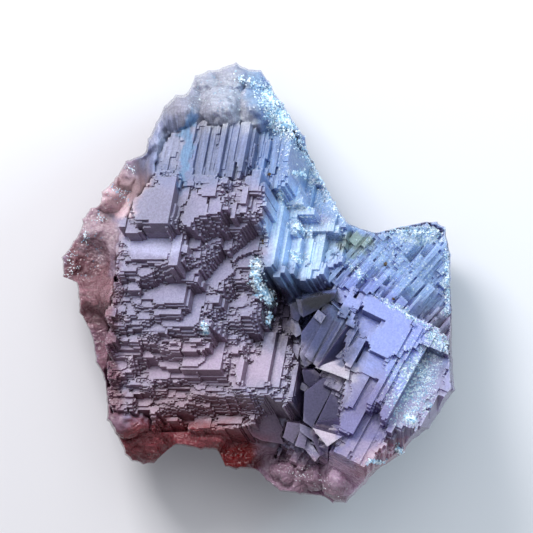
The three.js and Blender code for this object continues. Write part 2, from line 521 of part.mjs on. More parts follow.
// Columns of the given heights on a grid, closed at the floor, as one solid in the crystal's frame.
function terraces(us, vs, h, floor, f) {
  const points = [];
  const faces = [];
  const known = new Map();
  const vertex = (i, j, w) => {
    const key = i + "," + j + "," + w.toFixed(4);
    if (!known.has(key)) {
      known.set(key, points.length);
      points.push(pointOf(f, us[i], vs[j], w));
    }
    return known.get(key);
  };
  const height = (i, j) => (h[i]?.[j] === undefined ? floor : h[i][j]);
  const levels = (i, j, low, high) => {
    const all = [height(i - 1, j - 1), height(i, j - 1), height(i - 1, j), height(i, j), floor];
    const kept = all.filter((w) => w > low && w < high);
    return [low, ...new Set(kept.sort((a, b) => a - b)), high].map((w) => vertex(i, j, w));
  };
  // The wall from p to q, seen with its solid side behind it.
  const wall = (p, q, low, high) => {
    const left = levels(...p, low, high);
    const right = levels(...q, low, high);
    let a = 0;
    let b = 0;
    while (a + 1 < left.length || b + 1 < right.length) {
      if (b + 1 < right.length && (a + 1 >= left.length || b <= a)) {
        faces.push([left[a], right[b], right[b + 1]]);
        b++;
      } else {
        faces.push([left[a], right[b], left[a + 1]]);
        a++;
      }
    }
  };
  for (let i = 0; i <= h.length; i++) {
    for (let j = 0; j <= h[0].length; j++) {
      const here = height(i, j);
      const west = height(i - 1, j);
      const south = height(i, j - 1);
      if (here > floor) {
        const [a, b, c, d] = [[i, j], [i + 1, j], [i + 1, j + 1], [i, j + 1]];
        const top = [a, b, c, d].map(([x, y]) => vertex(x, y, here));
        const base = [a, b, c, d].map(([x, y]) => vertex(x, y, floor));
        faces.push([top[0], top[1], top[2]], [top[0], top[2], top[3]]);
        faces.push([base[0], base[2], base[1]], [base[0], base[3], base[2]]);
      }
      if (here > west) wall([i, j + 1], [i, j], west, here);
      if (west > here) wall([i, j], [i, j + 1], here, west);
      if (here > south) wall([i, j], [i + 1, j], south, here);
      if (south > here) wall([i + 1, j], [i, j], here, south);
    }
  }
  return solid(points, faces);
}

// Lattice lines from low to high, unevenly spaced about the step.
function lines(low, high, step, random) {
  const made = [low];
  while (made[made.length - 1] < high)
    made.push(made[made.length - 1] + step * (0.75 + 0.5 * random()));
  return made;
}

function crystal({ frame: f, step, merge, uneven, sink, placed, ground: area }, random) {
  const surface = placed.length ? layers(f, placed) : relief;
  const corners = area.map(([x, y]) => [x, y, relief(x, y)]);
  const span = (axis, size) => {
    const reach = corners.map((c) => along(axis, ...c));
    return lines(Math.min(...reach) - size, Math.max(...reach) + size, size, random);
  };
  const us = span(f.u, step[0]);
  const vs = span(f.v, step[1]);
  const owner = plateMap(us.length - 1, vs.length - 1, merge, random);
  const mid = (values, i, n) => (values[i] + values[Math.min(i + n, values.length - 1)]) / 2;
  const h = owner.map((row, i) => row.map((plate, j) => {
    const { p } = onSurface(surface, f, mid(us, i, 1), mid(vs, j, 1));
    if (!inside(area, p[0], p[1])) return -Infinity;
    const middle = [mid(us, plate.i, plate.du), mid(vs, plate.j, plate.dv)];
    return onSurface(surface, f, ...middle).w + 2 * uneven * plate.lift - sink;
  }));
  const floor = Math.min(...h.flat().filter((w) => w > -Infinity)) - FOOT;
  const closed = h.map((row) => row.map((w) => (w > -Infinity ? w : floor)));
  fillDiagonals(closed);
  return placed.reduce(
    (body, [level, ...outline]) => body.add(prism(
      onLattice(f, level, outline),
      ([u, v]) => pointOf(f, u, v, floor),
      ([u, v]) => pointOf(f, u, v, level),
    )),
    terraces(us, vs, closed, floor, f),
  );
}

// Everything in front of the stepped, broken back.
function brokenBack(random) {
  const us = lines(-SPAN, SPAN, BACK_STEP[0], random);
  const vs = lines(-SPAN, SPAN, BACK_STEP[1], random);
  const middle = (values, i) => (values[i] + values[i + 1]) / 2;
  const h = us.slice(1).map((_, i) => vs.slice(1).map((__, j) =>
    onSurface(backRelief, BACK, middle(us, i), middle(vs, j)).w + BACK_UNEVEN * (random() - 0.5)));
  fillDiagonals(h);
  return terraces(us, vs, h, -2 * SPAN, BACK);
}

function specimen() {
  const random = randomFrom(SEED);
  let body = ground(random);
  for (const shape of Object.values(CRYSTALS)) body = body.add(crystal(shape, random));
  for (const shape of BLOCKS) body = body.add(block(shape));
  for (const shape of LUMPS) body = body.add(lump(shape));
  return body.intersect(envelope()).intersect(brokenBack(random));
}

// The solid as a mesh, moved so that it is centred over the origin and rests on z = 0.
function meshOf(name, body, material) {
  const made = body.getMesh();
  const g = new THREE.BufferGeometry();
  const position = new Float32Array(made.numVert * 3);
  for (let i = 0; i < made.numVert; i++)
    position.set(made.vertProperties.subarray(i * made.numProp, i * made.numProp + 3), i * 3);
  g.setAttribute("position", new THREE.BufferAttribute(position, 3));
  g.setIndex(new THREE.BufferAttribute(made.triVerts, 1));
  g.computeBoundingBox();
  const { min, max } = g.boundingBox;
  g.translate(-(min.x + max.x) / 2, -(min.y + max.y) / 2, -min.z);
  const mesh = new THREE.Mesh(g, material);
  mesh.name = name;
  return mesh;
}

const fluorite = new THREE.MeshStandardMaterial({ color: 0x8f86a8, roughness: 0.3, metalness: 0 });
const root = new THREE.Group();
root.add(meshOf("fluorite", specimen(), fluorite));
export default root;
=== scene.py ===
"""Fluorite specimen: a cluster of intergrown cubic crystals with stepped faces, lying on its back.

The shapes are worked out in millimetres in the frame of the solid that they replace, and scaled
to it at the end. Every crystal is a field of flat terraces on the lines of its own lattice.
"""

import math
import random

import bpy
import numpy as np
from mathutils import Euler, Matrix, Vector, noise
from mathutils.bvhtree import BVHTree


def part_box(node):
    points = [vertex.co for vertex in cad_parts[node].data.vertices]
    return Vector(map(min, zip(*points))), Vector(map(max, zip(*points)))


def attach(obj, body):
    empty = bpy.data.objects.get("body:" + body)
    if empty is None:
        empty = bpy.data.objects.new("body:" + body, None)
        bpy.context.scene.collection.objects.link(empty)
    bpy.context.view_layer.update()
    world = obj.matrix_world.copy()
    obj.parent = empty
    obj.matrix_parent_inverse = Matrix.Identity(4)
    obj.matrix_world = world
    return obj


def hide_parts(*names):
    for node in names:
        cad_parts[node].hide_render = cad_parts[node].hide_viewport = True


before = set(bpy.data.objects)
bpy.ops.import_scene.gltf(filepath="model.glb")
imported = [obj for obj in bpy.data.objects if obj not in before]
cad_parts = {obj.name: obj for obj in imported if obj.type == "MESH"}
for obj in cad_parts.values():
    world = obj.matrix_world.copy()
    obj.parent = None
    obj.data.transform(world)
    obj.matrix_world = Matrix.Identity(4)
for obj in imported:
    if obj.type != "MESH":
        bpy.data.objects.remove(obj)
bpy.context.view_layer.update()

NODE = "fluorite"
SEED = 7

# ---- driving dimensions, in millimetres ----
HEART = (-0.5, -1.3)  # the point that the outline is star-shaped about
REST_SHARE = 0.5  # size of the flat rest face against the outline
BELLY_SHARE = 0.93  # size of the back half way up to the rim
BELLY_HEIGHT = 0.4  # its height, as a share of the rim height
RIM_HEIGHT = 0.62  # height of the widest outline, as a share of the display relief there
TOP_SHARE = 0.95  # how far the sides lean in above the rim
SKY = 45.0  # above the highest crystal
UNDER = -5.0  # below the rest plane
GROUND_STEP = 0.5
GROUND_SINK = 0.3  # the ground lies this far below the relief where it shows
HIDDEN_SINK = 6.0  # and this far below it under the crystals
TIER = 3.4  # height of one rounded tier of the ground
SPAN = 60.0  # half of a square that holds the outline from any side
FOOT = 15.0  # how deep a terraced crystal is rooted below its lowest terrace
BACK_SINK = -4.0  # the broken back reaches below the rest plane, which cuts it flat
EDGE_STEP = 0.7  # distance between the points of the detailed outline
EDGE_CHIP = 0.35  # how far chips take the outline in
TIER_SHARPNESS = 0.75  # 0 leaves the ground a slope, and 1 makes its tiers flat
TIER_RISER = (0.15, 0.7)  # the share of a tier's height over which its front rises
SWELL = ((0.16, 1.1), (0.35, 0.5))  # the ground's slow waves: waves a millimetre, and their height
SWAY = ((0.11, 0.5),)  # how the tiers wander up and down, in tiers
GRAIN = ((0.8, 0.22), (2.1, 0.12))  # the ground's fine grain
VARY = (0.6, 1.4)  # the sizes of steps and plates, against what is asked for
CHIP_DEPTH = (0.12, 0.5)  # depth of a chip in a plate's edge
LEDGE_CELLS = 7  # lattice cells along one ledge of a plate's side
LEDGE_DROP = (0.5, 2.6)  # height of a ledge
LEDGE_SIDE = 0.6  # how much more it drops on the side along u
SPOT_REACH = 40.0  # how far the plates that stand out shape what lies between them
STRAIGHTEN = 0.22  # an edge that leaves the lattice by less than this slope follows it
LUMP_SWELL = (0.3, 0.9)  # slow bulges on a lump: bulges a millimetre, and their height
LUMP_RISE = 0.4  # makes up for what the creases take off
CRUMB_TILT = 0.7  # how far a tiny crystal leans, in radians
CRUMB_SPREAD = 0.55  # how wide a patch of them scatters, in its half widths
CRUMB_SIZES = (0.5, 1.3)  # their sides, as a share of the patch's size

# Widest outline, clockwise from the peak.
OUTLINE = [
    (-4, 40), (-2.5, 39), (0.5, 38.5), (2, 36.5), (3.5, 33.5), (4.5, 32.5), (6.5, 29), (8.5, 26.5),
    (9, 23.5), (10, 22), (12, 18), (14, 14.5), (16, 11), (18, 10), (21.5, 9), (25.5, 10),
    (30.5, 11), (32.5, 11), (34, 10), (35, 5), (35.2, -5), (35.2, -14), (35.7, -19.5), (33, -23.5),
    (31, -26.5), (27, -29.5), (26.5, -31), (23, -33), (21, -34.5), (19.5, -36.5), (16, -40),
    (13.5, -40.1), (12, -39), (7.5, -38.5), (4, -38), (1.5, -36), (-0.5, -34), (-4, -34),
    (-6, -33.5), (-7.5, -30.5), (-10.5, -30.4), (-15, -29.5), (-17, -31), (-19, -33), (-21, -33.2),
    (-23, -32.5), (-24.2, -31.3), (-26, -27.5), (-27.5, -25), (-27.5, -21.5), (-28, -17.5),
    (-29.5, -14.5), (-30.4, -9.5), (-32.5, -5.5), (-33, 0), (-35.5, 1), (-35.7, 4.5), (-33.5, 7.5),
    (-32, 10), (-32, 11.5), (-30.5, 13.5), (-29, 14), (-28.5, 16.5), (-26, 19), (-24, 22),
    (-20.5, 23.5), (-20, 26), (-18.5, 29), (-17, 32), (-15, 34), (-13, 34.2), (-12, 36),
    (-11.5, 37.5), (-9, 38.5), (-6.5, 39),
]

# Heights of the display relief at chosen places: x, y, z.
RELIEF = np.array([
    (-15, 16, 34), (-21, 6, 31.5), (-12, 0, 32.5), (0, 5, 31), (-24, -5, 29), (-12, -12, 29.5),
    (-12, -19, 26), (0, -14, 28.5), (-2, -22, 25.5), (-20, -22, 23.5),
    (-5, 39, 15), (-14, 31, 21), (2, 33, 18), (-6, 24, 30), (-6, 31, 23.5),
    (4, 19, 27), (11, 19, 15), (7, 9, 26), (14, 12, 18), (3, 27, 23),
    (10, 2, 24), (7, -5, 22), (6, -12, 24), (9, -20, 24),
    (19, 6, 21), (26, 4, 21), (32, 8, 17), (33, -3, 18),
    (20, -5, 29.5), (25, -12, 32), (19, -20, 33), (32, -13, 27), (31, -21, 22), (26, -25, 24),
    (15, -18, 31), (14, -28, 32), (20, -30, 29),
    (12, -37, 18), (9, -33, 22), (17, -35, 24), (3, -34, 18), (-2, -29, 21), (-9, -28, 22),
    (-20, -27, 20), (-22, -31, 14),
    (-31, 4, 17), (-29, -8, 17), (-25, 16, 19), (-29, 9, 19), (-30, 12, 17), (-27, -20, 20),
])


def lattice(u, v):
    """Three unit axes: u and v lie in a crystal's face, and w stands on it."""
    u = Vector(u).normalized()
    v = (Vector(v) - u * u.dot(Vector(v))).normalized()
    return np.array([u, v, u.cross(v)])


MAIN = lattice((0.94, 0, 0.342), (0.165, 0.875, -0.454))
TWIN = lattice((0.888, -0.427, 0.17), (0.458, 0.826, -0.33))
SLANT = lattice((0.7, -0.66, -0.1), (0.66, 0.7, -0.25))
BACK = lattice((0.94, 0, 0.342), (-0.165, -0.875, 0.454))  # the main crystal, from behind
BACK_STEPS = (1.5, 1.7)  # the spacing of its lattice lines along u and v
BACK_PLATES = [(12, 10, 30), (7, 5, 90), (4, 3, 260), (2, 2, 500)]  # width, length, number
BACK_RUGGED = (0.5, 0.15)  # how unevenly they stand, and the share of edge cells that are chipped

# Plates that stand out from each crystal's face: the height along w, then the corners.
GREAT_PLATES = [
    (40.9, (-18.6, 19.9), (-17.1, 19.1), (-14.4, 18.9), (-15.1, 17.1), (-15.7, 14), (-16.3, 10.8),
     (-19.5, 10.6), (-19.5, 11.2), (-22, 11.1), (-22.7, 13.5), (-22.3, 14.9), (-19.6, 16.7),
     (-17.8, 17.6), (-18.2, 18.9)),
    (38.4, (-14.1, 16.6), (-12.5, 17.1), (-12.6, 14.9), (-13.5, 13.8), (-14.4, 13.5),
     (-14.1, 15.3)),
    (38.3, (-12.2, 16.3), (-11, 16.7), (-10.6, 15.7), (-9.2, 15.5), (-9, 12.2), (-11.2, 11.7),
     (-11.7, 10.9), (-12.4, 10), (-13.9, 10.6), (-12.8, 13.5), (-12.3, 14.9)),
    (38.8, (-10.8, 16.5), (-9.4, 17.4), (-7.2, 18.9), (-7.3, 16.7), (-7.7, 15.4), (-9.4, 15.6),
     (-10.6, 15.9)),
    (37.9, (-9, 15.4), (-6.9, 15.4), (-6.5, 14), (-6.9, 12.6), (-9, 12)),
    (36, (-2.7, 17.4), (-1.5, 17.1), (-2.1, 14.2), (-3.3, 14)),
    (35.6, (-4.7, 14.2), (-3.6, 14.4), (-4, 11.7), (-5.1, 11.7)),
    (35.1, (-3.1, 13.8), (-2, 13.8), (-2.2, 12.6), (-3.4, 12.7)),
    (35.7, (-2.4, 18.9), (-1.3, 19.2), (-1.1, 20.1), (0.4, 20.3), (0.2, 16.3), (-1.5, 16.3),
     (-1.6, 17.2), (-2.4, 17.8)),
    (33.7, (-1.1, 14.9), (0, 15.3), (-0.4, 12.7), (-1.3, 12.4)),
    (32.3, (-5.8, 10), (-4.3, 10.6), (-2.2, 10.8), (-2, 10.2), (-3.3, 9.7), (-5.4, 9.7)),
    (35.3, (-24.6, 8.8), (-23.2, 8), (-19.5, 8.3), (-15.4, 7.9), (-15.7, 5.5), (-16.6, 3.7),
     (-20.7, 4.3), (-22.9, 4.3), (-23.4, 5.5), (-23.6, 6.8), (-24.8, 7.3)),
    (35.8, (-15.1, 7.9), (-13.4, 9), (-13.9, 5.5), (-14.2, 3.2), (-16.4, 3.2), (-15.5, 5.2)),
    (38.3, (-23.3, 11.7), (-22.9, 10.6), (-22.2, 9.7), (-20.7, 9.3), (-21.4, 9), (-24, 8.9)),
    (38.9, (-24.9, 10.9), (-23.8, 12.2), (-23.6, 11.5), (-24, 10), (-25.2, 9.9)),
    (34.3, (-24.5, 3.8), (-23.9, 3.7), (-23.4, 2.8), (-21.7, 2.7), (-21.8, 2.2), (-24.9, 2.2)),
    (33.5, (-21.8, 2.1), (-21.1, 2.6), (-20, 2.7), (-19.1, 2.3), (-19.1, 1.6), (-19.8, 1.4),
     (-21.1, 1), (-21.7, 1.6)),
    (31.5, (-22.9, 0.2), (-21.8, 0), (-21.2, -1.4), (-23.6, -1.4), (-23.3, -0.4)),
    (29.6, (-20.6, -1), (-20.1, -1.8), (-17.1, -0.2), (-16.6, -0.6), (-15.7, -0.2), (-13.2, -0.4),
     (-13.3, -3.1), (-13.5, -4), (-16.8, -3.5), (-18, -4), (-18.7, -3.6), (-19.2, -2.9),
     (-21.1, -2.9), (-21.1, -2)),
    (29.3, (-22.9, -2.4), (-21.1, -2.3), (-20.9, -2.9), (-21.1, -3.6), (-21.6, -4), (-22.3, -3.8)),
    (28.9, (-20.5, -3.3), (-19.3, -3.3), (-18.6, -4.3), (-20.8, -4.4)),
    (28.3, (-23.4, -3.6), (-23.1, -3.6), (-22.5, -4.5), (-21.9, -5.8), (-23.8, -5.9),
     (-23.5, -4.5)),
    (28.2, (-18.6, -4.8), (-13.8, -4.6), (-13.9, -5.6), (-18.8, -5.7)),
    (27.7, (-21.1, -5.3), (-20.2, -5.5), (-19.2, -6), (-19.5, -6.5), (-21.6, -6.5), (-21.8, -5.8)),
    (29.3, (-26.3, -3.8), (-25.6, -4.9), (-25.6, -6.3), (-26.7, -6.2), (-27.2, -6.7),
     (-27.5, -5.6), (-27, -4.5)),
    (28.5, (-25.2, -4.2), (-23.8, -4.2), (-24, -5.1), (-25.2, -5.7), (-25.6, -5.3)),
    (26.3, (-17.5, -6.9), (-14.8, -6.7), (-13.9, -7.2), (-13.3, -6.3), (-11.9, -5.3),
     (-11.5, -2.2), (-9.3, -1.7), (-9.5, -3.6), (-10.5, -5.1), (-10.6, -7.2), (-11.7, -7.8),
     (-13.5, -7.9), (-16.2, -8.3), (-16.8, -7.8), (-17.5, -7.6)),
    (25.9, (-19.1, -8.3), (-17.7, -7.7), (-16.6, -8.4), (-16.9, -8.7), (-19.3, -8.7)),
    (27.3, (-25.9, -6.7), (-25.4, -6.6), (-24.7, -7.1), (-24, -8), (-25.9, -7.6)),
    (24.7, (-24.8, -9.4), (-23.8, -9.4), (-23.4, -10.5), (-24.9, -10.3)),
    (24.7, (-22.9, -9.6), (-21.8, -9.6), (-21.5, -10.7), (-23.2, -10.7)),
    (25.7, (-27.4, -9.4), (-26.5, -8.7), (-25.6, -9.9), (-25.6, -10.7), (-27.5, -11.2)),
    (23.9, (-17.5, -9.9), (-16.4, -9.9), (-15, -10.5), (-14.6, -10.8), (-15.7, -11),
     (-16.8, -10.5)),
    (22.9, (-16.2, -11.6), (-14.4, -11.4), (-14.4, -11.9), (-16.2, -11.9)),
    (22.3, (-13.7, -11.7), (-12.3, -11.3), (-11.5, -11.7), (-10.8, -12.5), (-13.9, -12.3)),
    (23.7, (-12.4, -9.9), (-9.7, -9.9), (-10.5, -10.6), (-12.4, -10.6)),
    (20.3, (-13.3, -13.2), (-9.7, -12.8), (-9.6, -14.1), (-10.5, -14.6), (-10.8, -15.1),
     (-13.6, -15)),
    (22.9, (-25, -11.4), (-23.4, -11.3), (-22.2, -12.1), (-25.2, -12.1)),
    (21.9, (-25.8, -12.5), (-21.3, -12.8), (-21.4, -13.2), (-25.8, -13)),
    (21.3, (-20.5, -12.3), (-19.8, -12.3), (-18.7, -13.5), (-20.5, -13.4)),
    (19.3, (-17.8, -14.1), (-14.2, -14.3), (-14.4, -15.5), (-16, -15.4), (-18, -15)),
    (20.3, (-26.3, -14.1), (-24, -14.3), (-23.6, -15), (-24.5, -15.7), (-26.3, -15.9),
     (-26.7, -15)),
    (17.9, (-19.5, -15.5), (-18.9, -14.6), (-17.8, -14.6), (-17.7, -15.3), (-15.7, -15.9),
     (-15.9, -17.1), (-16.6, -17.5), (-18.6, -17.3), (-19.5, -17.7), (-20, -17.3), (-19.6, -16.4),
     (-20.7, -16.2), (-20.5, -15.9)),
    (17.5, (-15.5, -15.9), (-10.6, -16.2), (-10.6, -17), (-13.2, -17.2), (-15.5, -17.1)),
    (17.3, (-10.3, -16.2), (-5.8, -16.4), (-5.8, -17.1), (-10.3, -16.8)),
    (16.1, (-12.8, -17.5), (-10.4, -17.3), (-10.5, -18), (-12.8, -18)),
    (19.7, (-7.6, -11.7), (-6.7, -10.7), (-5.4, -10.5), (-6, -12.1), (-6.5, -14.1), (-7, -15.6),
     (-13.9, -15.6), (-14.1, -15.3), (-10.8, -15.3), (-9.7, -14.3), (-9.4, -13.4), (-8.1, -12.8)),
    (17.9, (-3.8, -14.3), (-2.7, -13.5), (-2.5, -14.3), (-3.1, -17.9), (-3.8, -18.2), (-4, -16.1)),
    (15.9, (1.2, -9), (3.4, -9), (2.9, -11.2), (2.3, -13.9), (1.8, -17.5), (0.9, -18.8),
     (-2.2, -18.6), (-2.4, -18), (-2, -15), (-0.9, -14.4), (-0.7, -13.4), (0.2, -13.2),
     (0.7, -11.6)),
    (14.5, (3.6, -9.2), (5.2, -9.6), (4.7, -13.9), (4.1, -18.9), (2.5, -18.6), (2.9, -16.1),
     (3.2, -12.5)),
    (12.9, (6.3, -15), (7.3, -14.8), (6.8, -17.5), (6.4, -20.6), (5.4, -20.6), (5.7, -18.4)),
    (26.7, (-5.8, 4.5), (-5.1, 4.8), (-4.7, 2.7), (-4.3, 1.9), (-5.6, 0.9), (-6.9, 0.1),
     (-7.2, -1.5), (-9.6, -0.2), (-7.9, 1.9)),
    (27.3, (-0.4, 8.2), (0.2, 8.4), (0, 5.9), (-3.3, 4.8), (-4.5, 3.7), (-4.5, 4.8)),
    (25.5, (-4.3, 2.1), (-3.3, 2.5), (-3.1, 0.7), (-4.3, 0.5)),
    (26.3, (-4, 4.5), (-1.1, 5.5), (-0.4, 3.7), (-1.5, 2.7), (-3.1, 2.7), (-3.8, 3)),
    (22.5, (-2.7, -1.7), (-1.5, -2.4), (-2, -3.6), (-2.9, -4.5), (-5.1, -4.5), (-5.2, -3.8),
     (-3.6, -2.9)),
    (33.3, (-12.3, 7.9), (-10.5, 7.9), (-10.3, 7.2), (-10.6, 6.4), (-11.5, 6.1), (-12.3, 6.3)),
    (32.3, (-11.5, 5.7), (-10.1, 5.5), (-10.3, 4.6), (-10.8, 4.3), (-11.7, 4.5)),
    (31.7, (-9.9, 6.3), (-9.7, 6.8), (-8.1, 7.7), (-6.7, 7.9), (-6.7, 7.5), (-8.3, 7),
     (-9.6, 6.1)),
    (29.7, (-6.1, 7.7), (-5.1, 7.3), (-4.7, 7.9), (-4.5, 7.2), (-5.1, 5.9), (-6.3, 5.9)),
    (30.7, (-13.7, 0.9), (-13, 1.8), (-11.5, 1.8), (-11.7, 0.3), (-13.9, 0.3)),
    (18.3, (-22.9, -17.7), (-22, -17.5), (-21.6, -18.4), (-23.1, -18.6)),
    (18.1, (-21.1, -18.4), (-20.2, -17.9), (-19.5, -18.6), (-20.9, -18.8)),
    (15.3, (-16.2, -19.1), (-12.3, -18.8), (-12.3, -19.2), (-16.4, -19.3)),
    (15.9, (-18.7, -19.1), (-16.6, -19.1), (-16.8, -19.7), (-18.9, -19.5)),
    (14.7, (-16.2, -19.5), (-14.8, -19.6), (-15, -20.2), (-15.5, -20.7), (-16.4, -20.6)),
    (14.5, (-14.6, -19.8), (-13.2, -19.7), (-13.2, -20.7), (-15, -20.7)),
    (16.9, (-24.7, -19.1), (-23.6, -19.1), (-23.1, -19.8), (-22.3, -20.6), (-24, -20.7),
     (-24.7, -20)),
    (16.7, (-22.5, -19.1), (-21.4, -19.1), (-21.3, -20.2), (-22.5, -20)),
    (14.7, (-22, -21.1), (-19.6, -20.7), (-18.9, -21.1), (-19.1, -21.6), (-19.8, -22.2),
     (-21.6, -22.2)),
    (14.3, (-18.9, -21.3), (-16.5, -21.3), (-16.6, -21.6), (-18.4, -22)),
    (11.5, (-16.4, -24.3), (-14.4, -24.2), (-14.7, -24.9), (-16.4, -24.9)),
    (10.3, (-10.8, -26.1), (-10.1, -25.6), (-9.6, -24.7), (-8.3, -24.3), (-8.5, -26.1)),
    (9.9, (-7.2, -24.3), (-5.4, -24), (-2.7, -24.3), (-3.1, -25.2), (-5.4, -25.4), (-7.2, -25.4)),
    (15.5, (-9.2, -18), (-4.9, -18.2), (-5.1, -18.5), (-9, -18.5)),
    (9.4, (-17.1, -25.6), (-14.8, -25.5), (-14.9, -26), (-17.2, -26)),
    (9.2, (-13.9, -24.9), (-11.2, -25), (-11.3, -25.6), (-13.8, -25.5)),
    (10.4, (-20.5, -24.8), (-18.5, -24.8), (-18.6, -26), (-20.6, -26.1)),
    (8.1, (-14.1, -26), (-13.3, -26), (-13.4, -26.5), (-14.2, -26.5)),
]

TWIN_PLATES = [
    (25.5, (19.4, -2), (20.3, -1.8), (25.4, -4.8), (27.7, -6.5), (27.3, -8), (26.4, -10.5),
     (25.9, -11.7), (25, -12.8), (23.9, -13.1), (23, -13.5), (21.4, -12.8), (20.1, -11.9),
     (20.1, -11.2), (19.1, -10.1), (20.1, -9.4), (21, -8.7), (21.6, -8), (22.3, -7.8),
     (22.8, -7.1), (19.1, -4.4), (18.7, -3.1)),
    (25, (16.8, -4), (18.5, -1.8), (19.4, -2.2), (18.7, -4.2), (17.8, -5.1), (17.1, -4.7)),
    (25.2, (27.9, -6.9), (29.9, -8.1), (27.7, -11.9), (26.3, -12.5), (25.7, -12.1), (26.6, -10.5),
     (27.5, -8.3)),
    (24, (27.5, -12.1), (29.1, -12.6), (28.1, -15.2), (26.3, -19.3), (24.1, -22.7), (23.4, -24.5),
     (22.3, -24.7), (22.1, -23.3), (23.6, -20.2), (25.4, -16.1)),
    (24.5, (25.9, -12.5), (27.2, -12.5), (25.2, -16.1), (22.8, -19.8), (21.9, -21.5),
     (21.6, -20.7), (23, -18.2), (24.5, -15.3)),
    (24.8, (23.4, -13.5), (24.8, -13.7), (23, -17.1), (21.6, -19.3), (20.3, -22), (19.8, -21.6),
     (21, -18.9), (22.1, -16.1)),
    (24, (19.1, -12.3), (20.3, -12.3), (22.8, -13.9), (21.6, -16.2), (20.9, -17.5), (20, -17),
     (18.5, -15.9), (16.9, -16.1), (16.5, -15.3), (17.6, -14.3)),
    (23.7, (16.7, -17.5), (17.1, -16.1), (18.5, -15.9), (20, -17), (17.1, -22.4), (15.5, -22.4),
     (16.4, -19.8)),
    (22.9, (20, -17.1), (21.9, -17.9), (20.3, -21.8), (18.9, -23.6), (16.7, -26.9), (15.8, -26.9),
     (14.9, -26), (14.6, -24), (15.5, -22.4), (17.1, -22.4)),
    (21.3, (18.9, -23.8), (20.3, -24.2), (16.9, -29.9), (15.5, -31.4), (14.2, -31), (16, -28.3),
     (16.9, -26.9)),
    (20.8, (20.7, -24.2), (22.1, -23.6), (22.5, -24.9), (20.1, -28.8), (17.8, -32.4), (16.4, -33),
     (16.9, -30.6), (18.3, -28.3)),
    (22.9, (17.8, -5.1), (19.1, -4.4), (22.8, -7.1), (22.1, -7.8), (21, -8.7), (20.1, -9.4),
     (19.1, -10.1), (18.3, -9.8), (18, -8.5), (17.8, -6.7)),
    (25.3, (15.6, -13.4), (16.5, -11.9), (18.3, -9.9), (19.4, -10.5), (16.5, -15.2),
     (15.6, -14.6)),
    (22.4, (19.4, -10.5), (20.1, -11.2), (20.1, -11.9), (19.1, -12.5), (17.8, -15), (16.7, -14.8)),
    (21.5, (22.7, -25.1), (24.1, -23.1), (26.3, -19.7), (28.1, -15.7), (30.9, -12.5), (32.7, -13),
     (33.5, -18.4), (30.9, -21.1), (27.3, -25.6)),
    (24.4, (30.2, -8.7), (31.7, -9.4), (30.6, -11.4), (29.3, -11), (29.1, -9.9)),
    (24, (30.9, -9.6), (33.8, -10.7), (33.3, -12.5), (30.6, -11.7)),
]

SLOPE_PLATES = [
    (30.6, (1.6, 18.5), (2.9, 19.4), (5.6, 20.3), (5.2, 18), (3.8, 16.7), (1.6, 16.7)),
    (27.3, (1.4, 16.5), (3.2, 16.3), (4.7, 13.5), (4.5, 10.9), (3.8, 7.7), (2.5, 3.2), (1.2, 2.7),
     (0.9, 5.9), (0.9, 9.5), (1.2, 13.1)),
    (24.9, (5, 10.9), (5.4, 9.5), (5, 5.9), (4.1, 1.9), (3.8, 1), (2.3, 1), (3, 3.7), (4.1, 7.7),
     (4.5, 10.2)),
    (24.1, (5, 13.1), (10.2, 13.1), (10.2, 12), (7.2, 12), (5, 11.1)),
    (20.7, (8.1, 11.7), (13.8, 10.9), (13.7, 9), (11.1, 9.7), (8.3, 9.3), (7.5, 10.4)),
    (20.3, (8.4, 17.2), (9.7, 17.4), (9.7, 13.8), (8.3, 13.8)),
    (18.9, (10.1, 16.9), (11.5, 16.3), (12.2, 14), (11.1, 9.9), (10.1, 9.9)),
    (25.5, (5.6, 18), (7.5, 17.4), (8.1, 14), (5, 14)),
    (22.4, (5, 7.7), (7.5, 8.2), (7.5, 3.7), (5.4, 2.7)),
    (20.3, (7.7, 8.1), (9.7, 8.1), (9.7, 3.7), (8.1, 2.7), (7.7, 3.7)),
    (19.7, (9.9, 8.4), (11.9, 8.8), (11.9, 3.7), (10.1, 2.3)),
    (17.3, (12, 8.6), (14, 8.4), (14.4, 5.5), (12.2, 3.7)),
]

COLUMN_PLATES = [
    (38.8, (-13.3, 26.6), (-12.4, 30.6), (-11.2, 30.6), (-11.2, 23.9), (-11.5, 17.4), (-13.5, 18),
     (-13.9, 21.2)),
    (38.2, (-17.7, 22.1), (-16.9, 25.2), (-15.9, 25.4), (-15.8, 19.4), (-17.1, 19.9)),
    (38.1, (-10.6, 27.9), (-9.3, 28.2), (-9.5, 18.2), (-10.6, 17.6)),
    (37.5, (-9, 28.2), (-7.9, 28.4), (-8, 19), (-9, 18.6)),
    (37.9, (-7.2, 28.8), (-6.3, 28.9), (-6.4, 19.2), (-7.4, 19)),
    (36.9, (-6, 28.9), (-5.2, 28.8), (-5.3, 20.5), (-6, 19.8)),
    (36.2, (-3.4, 28.6), (-2.2, 28.6), (-2.1, 19.6), (-2.9, 19.4), (-3.8, 21.7)),
    (34.4, (-1.8, 28.2), (-0.9, 28.6), (-0.9, 22.8), (-1.5, 20.3), (-1.9, 23.9)),
    (32.4, (-0.2, 28.6), (0.9, 28), (0.9, 22.4), (0.2, 22.5)),
    (31, (2.5, 27.5), (4.3, 27.9), (4.1, 23.9), (3.2, 19.9), (1.9, 18.4), (2.2, 22.1)),
]

